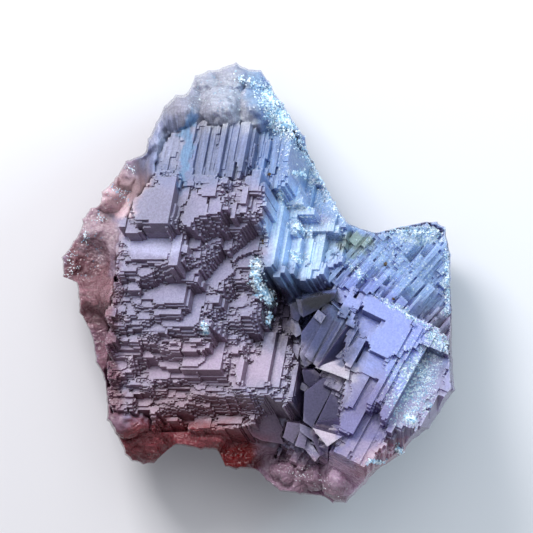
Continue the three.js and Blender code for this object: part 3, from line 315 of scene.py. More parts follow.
# Each terraced crystal: its lattice, the ground it covers, the spacing of its lattice lines along
# u and v, its small plates from large to small (width, length, number), how unevenly they stand,
# the share of the edge cells that are chipped, and the plates that stand out.
CRYSTALS = {
    "great_face": dict(
        lattice=MAIN, step=(0.34, 0.3), uneven=0.45, chipped=0.15, placed=GREAT_PLATES,
        sink=0.4, steps=4,
        plates=[(3.6, 1.4, 60), (2.4, 0.8, 220), (1.4, 0.6, 500), (0.8, 0.4, 700)],
        ground=[(-18, 20.3), (-23, 13), (-25, 6), (-27, -8), (-27.3, -20), (-26, -24),
                (-19, -26.6), (-12, -26.8), (-5, -26.4), (1, -25), (6.2, -21), (7.2, -14.8),
                (3.5, -7), (2, 5), (1.3, 18)],
    ),
    "valley": dict(
        lattice=MAIN, step=(0.4, 0.5), uneven=0.6, chipped=0.2, placed=[],
        plates=[(1.2, 3, 30), (0.8, 1.6, 60)],
        ground=[(1, 0), (7.6, 1), (10, -3), (9, -9), (7, -14), (3, -9)],
    ),
    "columns": dict(
        lattice=MAIN, step=(0.3, 0.7), uneven=0.18, chipped=0.03, placed=COLUMN_PLATES,
        sink=0.25, steps=1, plates=[(1.5, 9, 40), (0.9, 6, 120), (0.6, 4, 240), (0.3, 2, 260)],
        ground=[(-17, 17.5), (-18.6, 19.6), (-18, 23), (-16, 26), (-13, 29.4), (-10, 29),
                (-4, 28.8), (3, 28), (6.5, 27), (7.5, 24), (6, 20), (1.6, 15.5), (-5, 16.5)],
    ),
    "right_slope": dict(
        lattice=MAIN, step=(0.34, 0.5), uneven=0.16, chipped=0.06, placed=SLOPE_PLATES, sink=0.3,
        plates=[(2.4, 6, 20), (1.6, 3, 60), (1, 1.6, 140), (0.6, 1, 260)],
        ground=[(1.6, 18), (6, 24), (9, 23.5), (12, 18), (14, 14.5), (16.4, 10.4), (15, 4),
                (9, 0), (4, -1), (1.5, 6)],
    ),
    "upper_right": dict(
        lattice=SLANT, step=(0.32, 0.6), uneven=0.16, chipped=0.05, placed=[],
        plates=[(1.2, 9, 50), (0.8, 6, 160), (0.5, 3, 300), (0.35, 1.4, 260)],
        ground=[(16, 10.6), (21.5, 8.6), (30.5, 10.6), (34.2, 9), (35, -4), (34.5, -12),
                (28, -8), (20, -2), (16, -1), (9, 1), (12, 5)],
    ),
    "lower_right": dict(
        lattice=TWIN, step=(0.34, 0.4), uneven=0.15, chipped=0.05, placed=TWIN_PLATES, sink=0.3,
        steps=1,
        plates=[(2.4, 6, 24), (1.2, 3, 90), (0.7, 1.6, 200)],
        ground=[(16.6, -4), (18.4, -1.8), (20.4, -1.8), (32.6, -8.5), (34.8, -14), (34.5, -20),
                (30, -26.5), (24, -31), (18, -33.5), (13.5, -31.5), (14.4, -27), (15, -22),
                (15.8, -17), (15.4, -13)],
    ),
    "core": dict(
        lattice=TWIN, step=(0.4, 0.6), uneven=0.5, chipped=0.1, placed=[], sink=0.9,
        plates=[(1.6, 6, 24), (1, 4, 60), (0.6, 2, 140)],
        ground=[(6, -1), (9, 1.5), (17, 0.5), (17.5, -4), (17, -12), (16.4, -18), (15.6, -24),
                (15.6, -31), (9, -34), (3, -32), (5, -26), (7, -20), (7, -14), (5.5, -8)],
    ),
}

# Single blocks between the great face and the lower right crystal: the height of the middle of
# the top, its slopes along x and y, and its corners.
BLOCKS = [
    (27.8, -0.2, 0.25, (7.7, -3.1), (14, -1.8), (13.7, -2.9), (11.1, -4.7), (8.1, -6.3)),
    (27, 0.4, -0.1, (6.8, -3.1), (7.7, -3.1), (8.1, -6.3), (7.4, -5.6)),
    (25.6, 0.1, 0.2, (5.7, -4), (6.8, -3.5), (7.7, -6), (7.2, -7.1), (5.9, -6.3)),
    (24.8, 0.2, -0.2, (5.9, -6.5), (7.2, -7.1), (7.9, -9.2), (6.8, -9.9), (5.7, -8.5)),
    (28.4, 0.1, -0.4, (9.9, -6.2), (10.8, -4.9), (12.2, -6), (11.3, -7.4)),
    (27.6, 0.1, 0, (9.9, -6.2), (11.3, -7.4), (11, -8.9), (8.6, -11.9), (7.7, -11.2), (7.7, -9.2)),
    (27.6, -0.1, -0.1, (11.9, -3.3), (13.3, -4.2), (10.8, -9.2), (8.6, -13.4), (7.7, -12.5),
     (10.6, -7.8)),
    (28.2, -0.1, -0.1, (13.3, -4), (14.6, -4.9), (9.5, -14.3), (8.3, -13.2)),
    (28, 0, -0.1, (14.6, -4.9), (15.3, -5.4), (10.1, -14.6), (9.5, -14.3)),
    (28.7, -0.1, -0.1, (15.3, -5.4), (16.7, -6.5), (15.6, -8.3), (10.6, -15.2), (9.9, -14.6)),
    (28.9, 0.55, -0.42, (15.6, -5.8), (16, -6), (10.8, -15), (10.4, -14.8)),
    (28.6, 0.55, -0.42, (13.7, -8.1), (14, -8.3), (10.2, -14.4), (9.9, -14.3)),
    (28.9, -0.43, -0.55, (13.1, -3.6), (13.5, -3.8), (16.7, -6.3), (16.5, -6.7)),
    (28.4, -0.7, 0.3, (16.7, -6.5), (18.9, -8.3), (18, -10.8), (15.6, -13.5), (10.6, -15.2),
     (15.6, -8.3)),
    (29.4, 0, -0.3, (18, -9.8), (18.7, -10.3), (16.7, -14.6), (15.6, -14.4), (15.8, -13.2)),
    (28.9, -0.6, 0.2, (18.7, -10.3), (19.2, -10.8), (17.3, -15), (16.7, -14.6)),
    (31.6, 0.3635, -0.587, (10.2, -15.3), (15.5, -13.5), (16.5, -15.5), (16.2, -17.5),
     (13.5, -16.4)),
    (27.2, -0.1, 0.2, (7.9, -15.9), (10.1, -15.7), (11.7, -17), (9.2, -18.8), (8.3, -18)),
    (26.2, 0.1, -0.2, (7.9, -18), (9.2, -18.8), (8.4, -19.7), (7.4, -19.1)),
    (26.6, 0.3, -0.1, (7.9, -11.2), (8.6, -12.1), (9.9, -14.4), (8.4, -15.3), (7.4, -13)),
    (28.8, 0.1, 0, (11.7, -17.1), (14.4, -17.1), (9.7, -26.1), (8.1, -24.9), (8.3, -19.8)),
    (29.6, 0, 0.05, (14.4, -17.1), (16.4, -17.5), (15.6, -21.3), (14.6, -23.6), (14.6, -24.7),
     (10.8, -25.1), (10.1, -26.1)),
    (30.2, 0.2, 0.35, (10.8, -24.9), (14.6, -24.5), (15.3, -27), (10.1, -26.1)),
    (34.2, 0.3635, -0.587, (9.7, -26.1), (15.1, -27.6), (12.4, -29.4)),
    (28.6, -0.3, 0.1, (9.7, -26.3), (12.4, -29.6), (12.2, -30.8), (11.1, -31.2), (9.9, -28.5)),
    (27.8, -0.1, -0.1, (7.5, -25.4), (9.7, -26.3), (9.9, -28.5), (8.8, -27.8), (7.5, -26.7)),
    (27, 0.1, 0.3, (5.2, -25.1), (7.5, -25.4), (7.5, -26.7), (6.3, -29), (4.5, -27.9)),
    (27.4, -0.3, -0.1, (7.5, -26.7), (8.8, -27.8), (8.3, -29.9), (6.6, -29.4)),
    (26.8, 0.2, -0.3, (8.8, -27.8), (11.1, -31.2), (10.2, -32.3), (8.3, -29.9)),
    (27.6, 0.3635, -0.587, (6.5, -15), (7.4, -14.8), (6.6, -20.4), (5.4, -20.4)),
    (25.8, 0.2, 0.1, (5.6, -20.6), (6.8, -20.4), (7.5, -22.9), (6.5, -24.7), (5.4, -22.5)),
    (24.4, -0.15, 0.35, (-2.7, -25.4), (-0.9, -27.8), (0.7, -28.5), (4.7, -29.2), (3.9, -27.6),
     (4.5, -26.5), (2.5, -22.5), (0.7, -23.3), (-1.5, -24.3)),
]
BLOCK_DEPTH = 9.0  # how deep a block is rooted below its top
BLOCK_LEAN = (0.6, 1.6)  # how far the root of a block lies from its top, along x and y

# Rounded, glassy lumps: centre, then half sizes. The smooth tiers round the peak come first, and
# then the creased ones along the rim.
TIERS = [
    (-4.5, 38.2, 13, 2.5, 2.3, 5.4), (-9, 35.6, 14, 3.7, 3.5, 7.6), (-4.7, 36, 14.4, 4.2, 3.6, 7.6),
    (-0.9, 35.2, 13.6, 3.8, 3.8, 7.6), (-13, 30, 18.4, 5, 5, 9), (-6.6, 30.8, 18.6, 5.2, 4.6, 9.2),
    (-0.7, 30.6, 17.4, 5.2, 4.8, 9), (3.6, 28.6, 15, 3.8, 4.8, 9), (-18.4, 24.6, 18, 3.4, 7.4, 8.6),
]
LUMPS = [
    (-4, -31, 15, 3.3, 3.3, 3.5), (-23.6, -25.4, 21, 3.7, 2.5, 3), (-20.4, -28.6, 14, 6, 4.8, 6),
    (-27, 16.5, 16.5, 3.6, 4.2, 4.5), (-22.6, 18.6, 16, 3.4, 3.6, 5), (-33, 4, 14, 2.6, 3.4, 4),
    (-30.4, -2, 13, 3, 4.6, 5), (-29.6, 9.6, 14, 3.2, 4, 5), (-6.4, -29.4, 18, 1.1, 1.2, 1.6),
    (14.6, -35.4, 18.6, 3.6, 4.4, 8.5), (10, -35.2, 16, 3.6, 3, 7), (18.8, -32.8, 21, 3.4, 3, 8),
    (5.4, -34.6, 15, 3.6, 2.8, 6),
]
LUMP_CREASES = ((0.6, 1.3), (1.5, 0.5), (3.1, 0.25))  # creases a millimetre, and how deep they are
CREASED = (0.6, 0.8)  # how much of those depths the tiers and the lumps have

# Patches of tiny crystals that stand on the surface: the line that each patch lies along
# (x, y, x, y), its half width, how many crystals there are, and how large they are.
CRUMBS = [
    ((-0.4, 3.6, -0.4, -0.8), 1.1, 190, 0.34), ((0.2, -1, 2.4, -3.2), 1.3, 190, 0.38),
    ((2, -5.4, 2, -7.2), 0.5, 26, 0.35), ((-10, -7.6, -9, -9.2), 0.6, 50, 0.32),
    ((5, 13.6, 9.8, 13.4), 0.25, 50, 0.26), ((7.6, 11.9, 9.7, 11.8), 0.2, 24, 0.24),
    ((6.2, 19.8, 8.6, 19.4), 0.9, 80, 0.28), ((3.6, 16, 4.4, 14.8), 0.7, 44, 0.26),
    ((6, 10.4, 9.6, 8.8), 1.1, 110, 0.28), ((6, 5.4, 7.6, 3.6), 1, 70, 0.28),
    ((1, 35, 5.5, 27.6), 2.6, 620, 0.24), ((6, 27, 10, 21), 1.3, 200, 0.24),
    ((10, 21, 16, 11.5), 1.1, 200, 0.24),
    ((-4, 37, 0, 35.6), 1, 60, 0.24), ((24, 9.4, 33.6, 8.8), 1.1, 150, 0.22),
    ((33.8, 6, 34.3, -6), 0.6, 110, 0.22), ((16.4, 3.2, 18.8, 0.6), 1.4, 50, 0.22),
    ((28, -14, 31, -20), 2.4, 160, 0.16), ((30, -20, 26, -25), 2, 100, 0.16),
    ((20.4, -2.2, 31.6, -8.6), 0.4, 90, 0.18), ((31, -9, 34, -12), 1.4, 80, 0.2),
    ((19.9, -32, 22.8, -32.4), 0.5, 60, 0.34), ((25, -29.2, 26, -31.4), 0.7, 60, 0.32),
    ((26.4, -24.2, 28.4, -24.7), 0.5, 50, 0.3), ((-34, 6, -34, 0), 1.4, 60, 0.17),
    ((-31.4, 9, -31, 7), 0.8, 40, 0.17), ((-27, 17.6, -23.4, 14.6), 1.2, 70, 0.15),
    ((-24, 21, -22, 20), 0.8, 30, 0.15), ((-29, 12.4, -28, 11), 0.6, 24, 0.17),
    ((4, -33, 15, -37), 2.4, 70, 0.15),
]
# Tiny grains of brown dirt, in the same form.
GRAINS = [
    ((22.9, 3.2, 23, 3.2), 0.2, 2, 0.6), ((24.3, -3, 24.4, -3), 0.1, 2, 0.5),
    ((2, 19.5, 2.1, 19.4), 0.1, 2, 0.5), ((0.9, 7.6, 1, 6.6), 0.1, 3, 0.4),
]


# ---- surfaces that the crystals follow ----
def relief(x, y):
    """Height of the display relief: the chosen heights, blended by nearness."""
    x, y = np.asarray(x, float), np.asarray(y, float)
    near = 1 / ((x[..., None] - RELIEF[:, 0]) ** 2 + (y[..., None] - RELIEF[:, 1]) ** 2 + 2) ** 2
    return (near * RELIEF[:, 2]).sum(-1) / near.sum(-1)


def outline_reach(angle):
    """Distance from the heart to the outline, in the direction of each angle."""
    cx, cy = np.cos(angle)[..., None], np.sin(angle)[..., None]
    a = np.array(OUTLINE, float) - HEART
    e = np.roll(a, -1, axis=0) - a
    cross = cx * e[:, 1] - cy * e[:, 0]
    t = (a[:, 0] * e[:, 1] - a[:, 1] * e[:, 0]) / cross
    k = (a[:, 0] * cy - a[:, 1] * cx) / cross
    return np.where((t > 0) & (k >= 0) & (k <= 1), t, 0).max(-1)


def back_relief(x, y):
    """The broken back: flat in the middle, rising like a bowl to the outline."""
    dx, dy = x - HEART[0], y - HEART[1]
    share = np.hypot(dx, dy) / outline_reach(np.arctan2(dy, dx))
    rise = np.clip((share - REST_SHARE) / (1 - REST_SHARE), 0, 1)
    return BACK_SINK + (RIM_HEIGHT * relief(x, y) - BACK_SINK) * rise ** 2


def on_surface(surface, axes, u, v):
    """The points of a surface on a lattice's lines (u, v), and their height along w.

    The height starts from a guess, and each round takes off most of what it misses by."""
    up = math.copysign(1, axes[2, 2])
    w = np.full(np.shape(u), 20.0 * up)
    for _ in range(14):
        p = u[..., None] * axes[0] + v[..., None] * axes[1] + w[..., None] * axes[2]
        w = w + 0.8 * up * (surface(p[..., 0], p[..., 1]) - p[..., 2])
    return p, w


def inside(polygon, x, y):
    """Which points lie in the polygon."""
    hit = np.zeros(np.shape(x), bool)
    for (ax, ay), (bx, by) in zip(polygon, polygon[1:] + polygon[:1]):
        if ay != by:
            hit ^= ((ay > y) != (by > y)) & (x < (bx - ax) * (y - ay) / (by - ay) + ax)
    return hit


# ---- mesh making ----
def mesh_object(name, points, faces):
    mesh = bpy.data.meshes.new(name)
    mesh.from_pydata([tuple(p) for p in points], [], faces)
    mesh.validate()
    obj = bpy.data.objects.new(name, mesh)
    bpy.context.scene.collection.objects.link(obj)
    return obj


def smooth(obj):
    obj.data.polygons.foreach_set("use_smooth", [True] * len(obj.data.polygons))
    return obj


def combine(a, b, operation):
    """Joins b to a, or cuts a down to what b shares with it, and removes b."""
    step = a.modifiers.new("combine", "BOOLEAN")
    step.operation = operation
    step.solver = "MANIFOLD"
    step.object = b
    bpy.context.view_layer.update()
    made = bpy.data.meshes.new_from_object(a.evaluated_get(bpy.context.evaluated_depsgraph_get()))
    a.modifiers.clear()
    a.data = made
    bpy.data.objects.remove(b)
    if not made.polygons:
        raise RuntimeError("a boolean step came out empty")


def loft(name, rings):
    """Rings of equal length, bottom to top, anticlockwise from above, closed at both ends."""
    n = len(rings[0])
    points = [p for ring in rings for p in ring]
    faces = []
    for r in range(len(rings) - 1):
        for i in range(n):
            a, b = r * n + i, r * n + (i + 1) % n
            faces += [(a, b, b + n), (a, b + n, a + n)]
    for start, ring, up in ((0, rings[0], False), ((len(rings) - 1) * n, rings[-1], True)):
        middle = len(points)
        points.append(tuple(np.mean(ring, axis=0)))
        for i in range(n):
            a, b = start + i, start + (i + 1) % n
            faces.append((a, b, middle) if up else (b, a, middle))
    return mesh_object(name, points, faces)


def fill_diagonals(h):
    """Two high cells that touch only along an edge aren't a solid's surface: fills between them."""
    while True:
        changed = False
        a, b, c, d = h[:-1, :-1], h[1:, :-1], h[1:, 1:], h[:-1, 1:]
        for one, two, left, right in ((a, c, b, d), (b, d, a, c)):
            low = np.minimum(one, two)
            bad = low > np.maximum(left, right)
            if bad.any():
                changed = True
                raise_left = bad & (left > right)
                left[raise_left] = low[raise_left]
                raise_right = bad & ~raise_left
                right[raise_right] = low[raise_right]
        if not changed:
            return


def terraces(name, us, vs, h, floor, axes):
    """Columns of the given heights between lattice lines, closed at the floor, as one solid."""
    h = np.round(h, 4)
    floor = round(floor, 4)
    nu, nv = h.shape
    padded = np.full((nu + 2, nv + 2), floor)
    padded[1:-1, 1:-1] = h
    rows = padded.tolist()
    points, faces, known = [], [], {}

    def vertex(i, j, w):
        key = (i, j, w)
        if key not in known:
            known[key] = len(points)
            points.append(us[i] * axes[0] + vs[j] * axes[1] + w * axes[2])
        return known[key]

    def levels(i, j, low, high):
        around = {rows[i][j], rows[i + 1][j], rows[i][j + 1], rows[i + 1][j + 1]}
        kept = sorted(w for w in around if low < w < high)
        return [vertex(i, j, w) for w in (low, *kept, high)]

    def wall(p, q, low, high):
        faces.append(levels(*q, low, high) + levels(*p, low, high)[::-1])

    for i in range(nu + 1):
        for j in range(nv + 1):
            here, west, south = rows[i + 1][j + 1], rows[i][j + 1], rows[i + 1][j]
            if here > floor:
                ring = ((i, j), (i + 1, j), (i + 1, j + 1), (i, j + 1))
                faces.append([vertex(*c, here) for c in ring])
                faces.append([vertex(*c, floor) for c in ring[::-1]])
            if here > west:
                wall((i, j + 1), (i, j), west, here)
            if west > here:
                wall((i, j), (i, j + 1), here, west)
            if here > south:
                wall((i, j), (i + 1, j), south, here)
            if south > here:
                wall((i + 1, j), (i, j), here, south)
    return mesh_object(name, points, faces)


def lines(low, high, step, rng):
    """The lattice lines along one axis, unevenly spaced."""
    made = [low - step]
    while made[-1] < high + step:
        made.append(made[-1] + step * rng.uniform(*VARY))
    return np.array(made)


def plate_owner(us, vs, plates, rng):
    """Which plate each cell belongs to: large ones first, and then the gaps between them."""
    nu, nv = len(us) - 1, len(vs) - 1
    owner = np.full((nu, nv), -1)
    count = 0
    du, dv = (us[-1] - us[0]) / nu, (vs[-1] - vs[0]) / nv
    for width, length, number in plates:
        for _ in range(number):
            i, j = rng.randrange(nu), rng.randrange(nv)
            w = max(1, round(width / du * rng.uniform(*VARY)))
            l = max(1, round(length / dv * rng.uniform(*VARY)))
            part = owner[max(0, i - w // 2):i + w // 2 + 1, max(0, j - l // 2):j + l // 2 + 1]
            free = part < 0
            if free.sum() > 0.5 * part.size:
                part[free] = count
                count += 1
    for i, j in np.argwhere(owner < 0):
        if owner[i, j] < 0:
            part = owner[i:i + rng.choice((1, 1, 2, 3)), j:j + rng.choice((1, 1, 2))]
            part[part < 0] = count
            count += 1
    return owner, count


def crystal_heights(axes, us, vs, surface, owner, count, uneven, chipped, rng):
    """Each plate stands at the height of the surface under its middle, and its edge is chipped."""
    mu, mv = np.meshgrid((us[1:] + us[:-1]) / 2, (vs[1:] + vs[:-1]) / 2, indexing="ij")
    flat = owner.ravel()
    size = np.bincount(flat, minlength=count)
    cu = np.bincount(flat, mu.ravel(), count) / size
    cv = np.bincount(flat, mv.ravel(), count) / size
    level = on_surface(surface, axes, cu, cv)[1]
    lift = np.array([rng.uniform(-1, 1) for _ in range(count)])
    h = (level + uneven * lift)[owner]
    edge = np.zeros(owner.shape, bool)
    edge[1:] |= owner[1:] != owner[:-1]
    edge[:-1] |= owner[1:] != owner[:-1]
    edge[:, 1:] |= owner[:, 1:] != owner[:, :-1]
    edge[:, :-1] |= owner[:, 1:] != owner[:, :-1]
    draw = np.array([rng.random() for _ in range(h.size)]).reshape(h.shape)
    depth = np.array([rng.uniform(*CHIP_DEPTH) for _ in range(h.size)]).reshape(h.shape)
    h = h - np.where(edge & (draw < chipped), depth, 0)
    return mu, mv, h


def layers(lattice, placed):
    """A surface through the plates that stand out, blended by nearness between them."""
    w = lattice[2]
    spots = []
    for level, *corners in placed:
        middle = np.mean(corners, axis=0)
        spots.append((*middle, level))
        spots += [(*(0.75 * np.array(c) + 0.25 * middle), level) for c in corners]
    spots = np.array(spots)

    def surface(x, y):
        dx, dy = x[..., None] - spots[:, 0], y[..., None] - spots[:, 1]
        near = 1 / (dx ** 2 + dy ** 2 + 0.1) ** 2
        level = (near * spots[:, 2]).sum(-1) / near.sum(-1)
        reach = np.clip(near.max(-1) * SPOT_REACH, 0, 1)
        z = (level - w[0] * x - w[1] * y) / w[2]
        return reach * z + (1 - reach) * relief(x, y)
    return surface


def on_lattice(lattice, level, corners):
    """A plate's corners as (u, v), with the edges that nearly follow the lattice straightened."""
    x, y = np.array(corners, float).T
    z = (level - lattice[2, 0] * x - lattice[2, 1] * y) / lattice[2, 2]
    uv = np.array([lattice[0] @ (x, y, z), lattice[1] @ (x, y, z)]).T
    for _ in range(3):
        for k in range(len(uv)):
            a, b = uv[k - 1], uv[k]
            for one, two in ((0, 1), (1, 0)):
                if abs(a[one] - b[one]) < STRAIGHTEN * abs(a[two] - b[two]):
                    a[one] = b[one] = (a[one] + b[one]) / 2
    return [tuple(c) for c in uv]


def flanks(h, fixed, steps, rng):
    """Thin ledges down the two sides of each plate that face outwards."""
    nu, nv = h.shape
    for _ in range(steps):
        drop = np.array([rng.uniform(*LEDGE_DROP) for _ in range(nu * nv)]).reshape(nu, nv)
        along_u = drop[(np.arange(nu) // LEDGE_CELLS)[:, None], np.arange(nv)]
        along_v = drop[:, np.arange(nv) // LEDGE_CELLS]
        above = np.full(h.shape, -np.inf)
        above[:, :-1] = h[:, 1:] - along_u[:, :-1]
        beside = np.full(h.shape, -np.inf)
        beside[1:] = h[:-1] - along_v[1:] - LEDGE_SIDE
        h = np.where(fixed, h, np.maximum(h, np.maximum(above, beside)))
    return h


def crystal(name, rng, lattice, step, uneven, chipped, placed, plates, ground, sink=0.0, steps=0):
    """One terraced crystal. sink lowers the small plates, and steps is the rounds of ledges."""
    corners = np.array([(x, y, float(relief(x, y))) for x, y in ground]) @ lattice.T
    us = lines(corners[:, 0].min() - 1, corners[:, 0].max() + 1, step[0], rng)
    vs = lines(corners[:, 1].min() - 1, corners[:, 1].max() + 1, step[1], rng)
    surface = layers(lattice, placed) if placed else relief
    owner, count = plate_owner(us, vs, plates, rng)
    mu, mv, h = crystal_heights(lattice, us, vs, surface, owner, count, uneven, chipped, rng)
    h = h - sink
    x, y = (mu * lattice[0, k] + mv * lattice[1, k] + h * lattice[2, k] for k in (0, 1))
    covered = inside(ground, x, y)
    floor = float(h[covered].min()) - FOOT
    top = np.full(h.shape, -np.inf)
    for level, *outline in placed:
        hit = inside(on_lattice(lattice, level, outline), mu, mv)
        top = np.where(hit, np.maximum(top, level), top)
    fixed = np.isfinite(top)
    h = np.where(fixed, top, np.where(covered, h, floor))
    h = flanks(h, fixed | ~covered, steps, rng)
    fill_diagonals(h)
    return terraces(name, us, vs, h, floor, lattice)


# ---- the parts of the specimen ----
def fine_outline():
    """The outline with more points and small chips, anticlockwise."""
    corners = [Vector((x, y, 0)) for x, y in reversed(OUTLINE)]
    heart = Vector((*HEART, 0))
    made = []
    for a, b in zip(corners, corners[1:] + corners[:1]):
        pieces = max(1, round((b - a).length / EDGE_STEP))
        for k in range(pieces):
            p = a.lerp(b, k / pieces)
            chip = EDGE_CHIP * (0.5 + 0.5 * noise.noise(p * 0.9)) * (1 if k else 0)
            made.append(p + (heart - p).normalized() * chip)
    return [(p.x, p.y) for p in made]


def scaled(outline, share, height):
    """The outline shrunk towards its heart, at heights that its points give."""
    made = []
    for x, y in outline:
        px = HEART[0] + (x - HEART[0]) * share
        py = HEART[1] + (y - HEART[1]) * share
        made.append((px, py, height(px, py, x, y)))
    return made


def envelope(outline):
    """The space that the specimen fills."""
    rim = lambda px, py, x, y: RIM_HEIGHT * float(relief(x, y))
    return loft("envelope", [
        scaled(outline, REST_SHARE, lambda *_: 0.0),
        scaled(outline, BELLY_SHARE, lambda *at: BELLY_HEIGHT * rim(*at)),
        scaled(outline, 1, rim),
        scaled(outline, TOP_SHARE, lambda *_: SKY),
    ])


def roughness(x, y, z, sizes):
    """Noise at each point, as the sum of (spots per millimetre, height) layers."""
    made = np.zeros(np.shape(x))
    for index in np.ndindex(made.shape):
        at = Vector((x[index], y[index], z[index]))
        made[index] = sum(height * noise.noise(at * scale) for scale, height in sizes)
    return made


def ground_height(x, y):
    """Rounded tiers that follow the relief, grained like sugar."""
    hidden = np.zeros(x.shape, bool)
    for shape in CRYSTALS.values():
        hidden |= inside(shape["ground"], x, y)
    level = np.zeros(x.shape)
    z = relief(x, y) - np.where(hidden, HIDDEN_SINK, GROUND_SINK)
    z += roughness(x, y, level, SWELL)
    tier = z / TIER + roughness(x, y, level, SWAY)
    share = np.clip((tier % 1 - TIER_RISER[0]) / (TIER_RISER[1] - TIER_RISER[0]), 0, 1)
    z += TIER_SHARPNESS * TIER * (np.floor(tier) + share * share * (3 - 2 * share) - tier)
    return z + roughness(x, y, level, GRAIN)


def ground():
    """The glassy ground that the crystals stand out of."""
    low, high = np.min(OUTLINE, axis=0) - 1, np.max(OUTLINE, axis=0) + 1
    nx, ny = np.ceil((high - low) / GROUND_STEP).astype(int)
    x, y = np.meshgrid(*(low[k] + GROUND_STEP * np.arange(n + 1) for k, n in enumerate((nx, ny))),
                       indexing="ij")
    z = ground_height(x, y)
    points = np.stack([x, y, np.full(x.shape, UNDER), x, y, z], -1).reshape(-1, 3)
    faces = []

    def corner(i, j, top):
        return 2 * (i * (ny + 1) + j) + top

    for i in range(nx):
        for j in range(ny):
            ring = ((i, j), (i + 1, j), (i + 1, j + 1), (i, j + 1))
            faces.append([corner(*at, 1) for at in ring])
            faces.append([corner(*at, 0) for at in ring[::-1]])
    rim = ([(i, 0) for i in range(nx)] + [(nx, j) for j in range(ny)]
           + [(i, ny) for i in range(nx, 0, -1)] + [(0, j) for j in range(ny, 0, -1)])
    for a, b in zip(rim, rim[1:] + rim[:1]):
        faces.append([corner(*a, 0), corner(*b, 0), corner(*b, 1), corner(*a, 1)])
    return smooth(mesh_object("ground", points, faces))


def glassy_lump(at, size, creased):
    """A creased ellipsoid."""
    bpy.ops.mesh.primitive_ico_sphere_add(subdivisions=5 if max(size[:2]) > 5 else 4, radius=1)
    obj = bpy.context.object
    middle, size = Vector(at), Vector(size)
    for vertex in obj.data.vertices:
        out = Vector(vertex.co)
        p = middle + out * size
        creases = sum(depth * abs(noise.noise(p * count)) for count, depth in LUMP_CREASES)
        bulge = LUMP_SWELL[1] * noise.noise(p * LUMP_SWELL[0])
        vertex.co = p + out * (bulge - creased * creases + LUMP_RISE)
    return smooth(obj)


def block(height, slope_x, slope_y, *corners):
    """A slanting prism under a flat top."""
    area = sum(a[0] * b[1] - b[0] * a[1] for a, b in zip(corners, corners[1:] + corners[:1]))
    corners = corners if area > 0 else corners[::-1]
    mx, my = np.mean(corners, axis=0)
    top = [(x, y, height + slope_x * (x - mx) + slope_y * (y - my)) for x, y in corners]
    root = [(x + BLOCK_LEAN[0], y + BLOCK_LEAN[1], z - BLOCK_DEPTH) for x, y, z in top]
    n = len(top)
    sides = [(k, (k + 1) % n, n + (k + 1) % n, n + k) for k in range(n)]
    return mesh_object("block", root + top, sides + [range(n)[::-1], range(n, 2 * n)])


def broken_back(rng):
    """Everything in front of the stepped, broken back."""
    us, vs = (lines(-SPAN, SPAN, step, rng) for step in BACK_STEPS)
    owner, count = plate_owner(us, vs, BACK_PLATES, rng)
    _, _, h = crystal_heights(BACK, us, vs, back_relief, owner, count, *BACK_RUGGED, rng)
    fill_diagonals(h)
    return terraces("back", us, vs, h, -2 * SPAN, BACK)


def scatter(name, body, patches, rng):
    """Small tilted cubes, sunk into the body's upper side."""
    mesh = body.data
    tree = BVHTree.FromPolygons([v.co for v in mesh.vertices], [p.vertices for p in mesh.polygons])
    axes = [Vector(axis) for axis in MAIN]
    cube = [(a, b, c) for a in (-0.5, 0.5) for b in (-0.5, 0.5) for c in (-0.5, 0.5)]
    sides = [(0, 1, 3, 2), (4, 6, 7, 5), (0, 4, 5, 1), (2, 3, 7, 6), (0, 2, 6, 4), (1, 5, 7, 3)]
    points, faces = [], []
    for (ax, ay, bx, by), width, number, size in patches:
        for _ in range(number):
            share, angle = rng.random(), rng.uniform(0, math.tau)
            out = width * abs(rng.gauss(0, CRUMB_SPREAD))
            x = ax + (bx - ax) * share + out * math.cos(angle)
            y = ay + (by - ay) * share + out * math.sin(angle)
            place = tree.ray_cast(Vector((x, y, SKY)), Vector((0, 0, -1)))[0]
            if place is None:
                continue
            turn = Euler([rng.uniform(-CRUMB_TILT, CRUMB_TILT) for _ in range(3)]).to_matrix()
            spans = [size * rng.uniform(*CRUMB_SIZES) for _ in range(3)]
            start = len(points)
            for corner in cube:
                sizes = zip(axes, spans, corner)
                offset = sum((axis * span * c for axis, span, c in sizes), Vector())
                points.append(place + turn @ offset)
            faces += [[start + k for k in side] for side in sides]
    return mesh_object(name, points, faces)


def specimen():
    rng = random.Random(SEED)
    outline = fine_outline()
    body = ground()
    for name, shape in CRYSTALS.items():
        combine(body, crystal(name, rng, **shape), "UNION")
    for shape in BLOCKS:
        combine(body, block(*shape), "UNION")
    for lumps, creased in zip((TIERS, LUMPS), CREASED):
        for x, y, z, *size in lumps:
            combine(body, glassy_lump((x, y, z), size, creased), "UNION")
    combine(body, envelope(outline), "INTERSECT")
    combine(body, broken_back(rng), "INTERSECT")
    return body


def place(obj, name, material):
    """Millimetres to the frame's metres, centred on the solid that it replaces."""
    low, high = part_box(NODE)
    xs, ys = zip(*OUTLINE)
    scale = (high.y - low.y) / (max(ys) - min(ys))
    middle = Vector(((max(xs) + min(xs)) / 2, (max(ys) + min(ys)) / 2, 0))
    target = Vector(((low.x + high.x) / 2, (low.y + high.y) / 2, low.z))
    for vertex in obj.data.vertices:
        vertex.co = (vertex.co - middle) * scale + target
    obj.name = name
    obj.data.materials.clear()
    obj.data.materials.append(material)
    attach(obj, "root")
    return obj


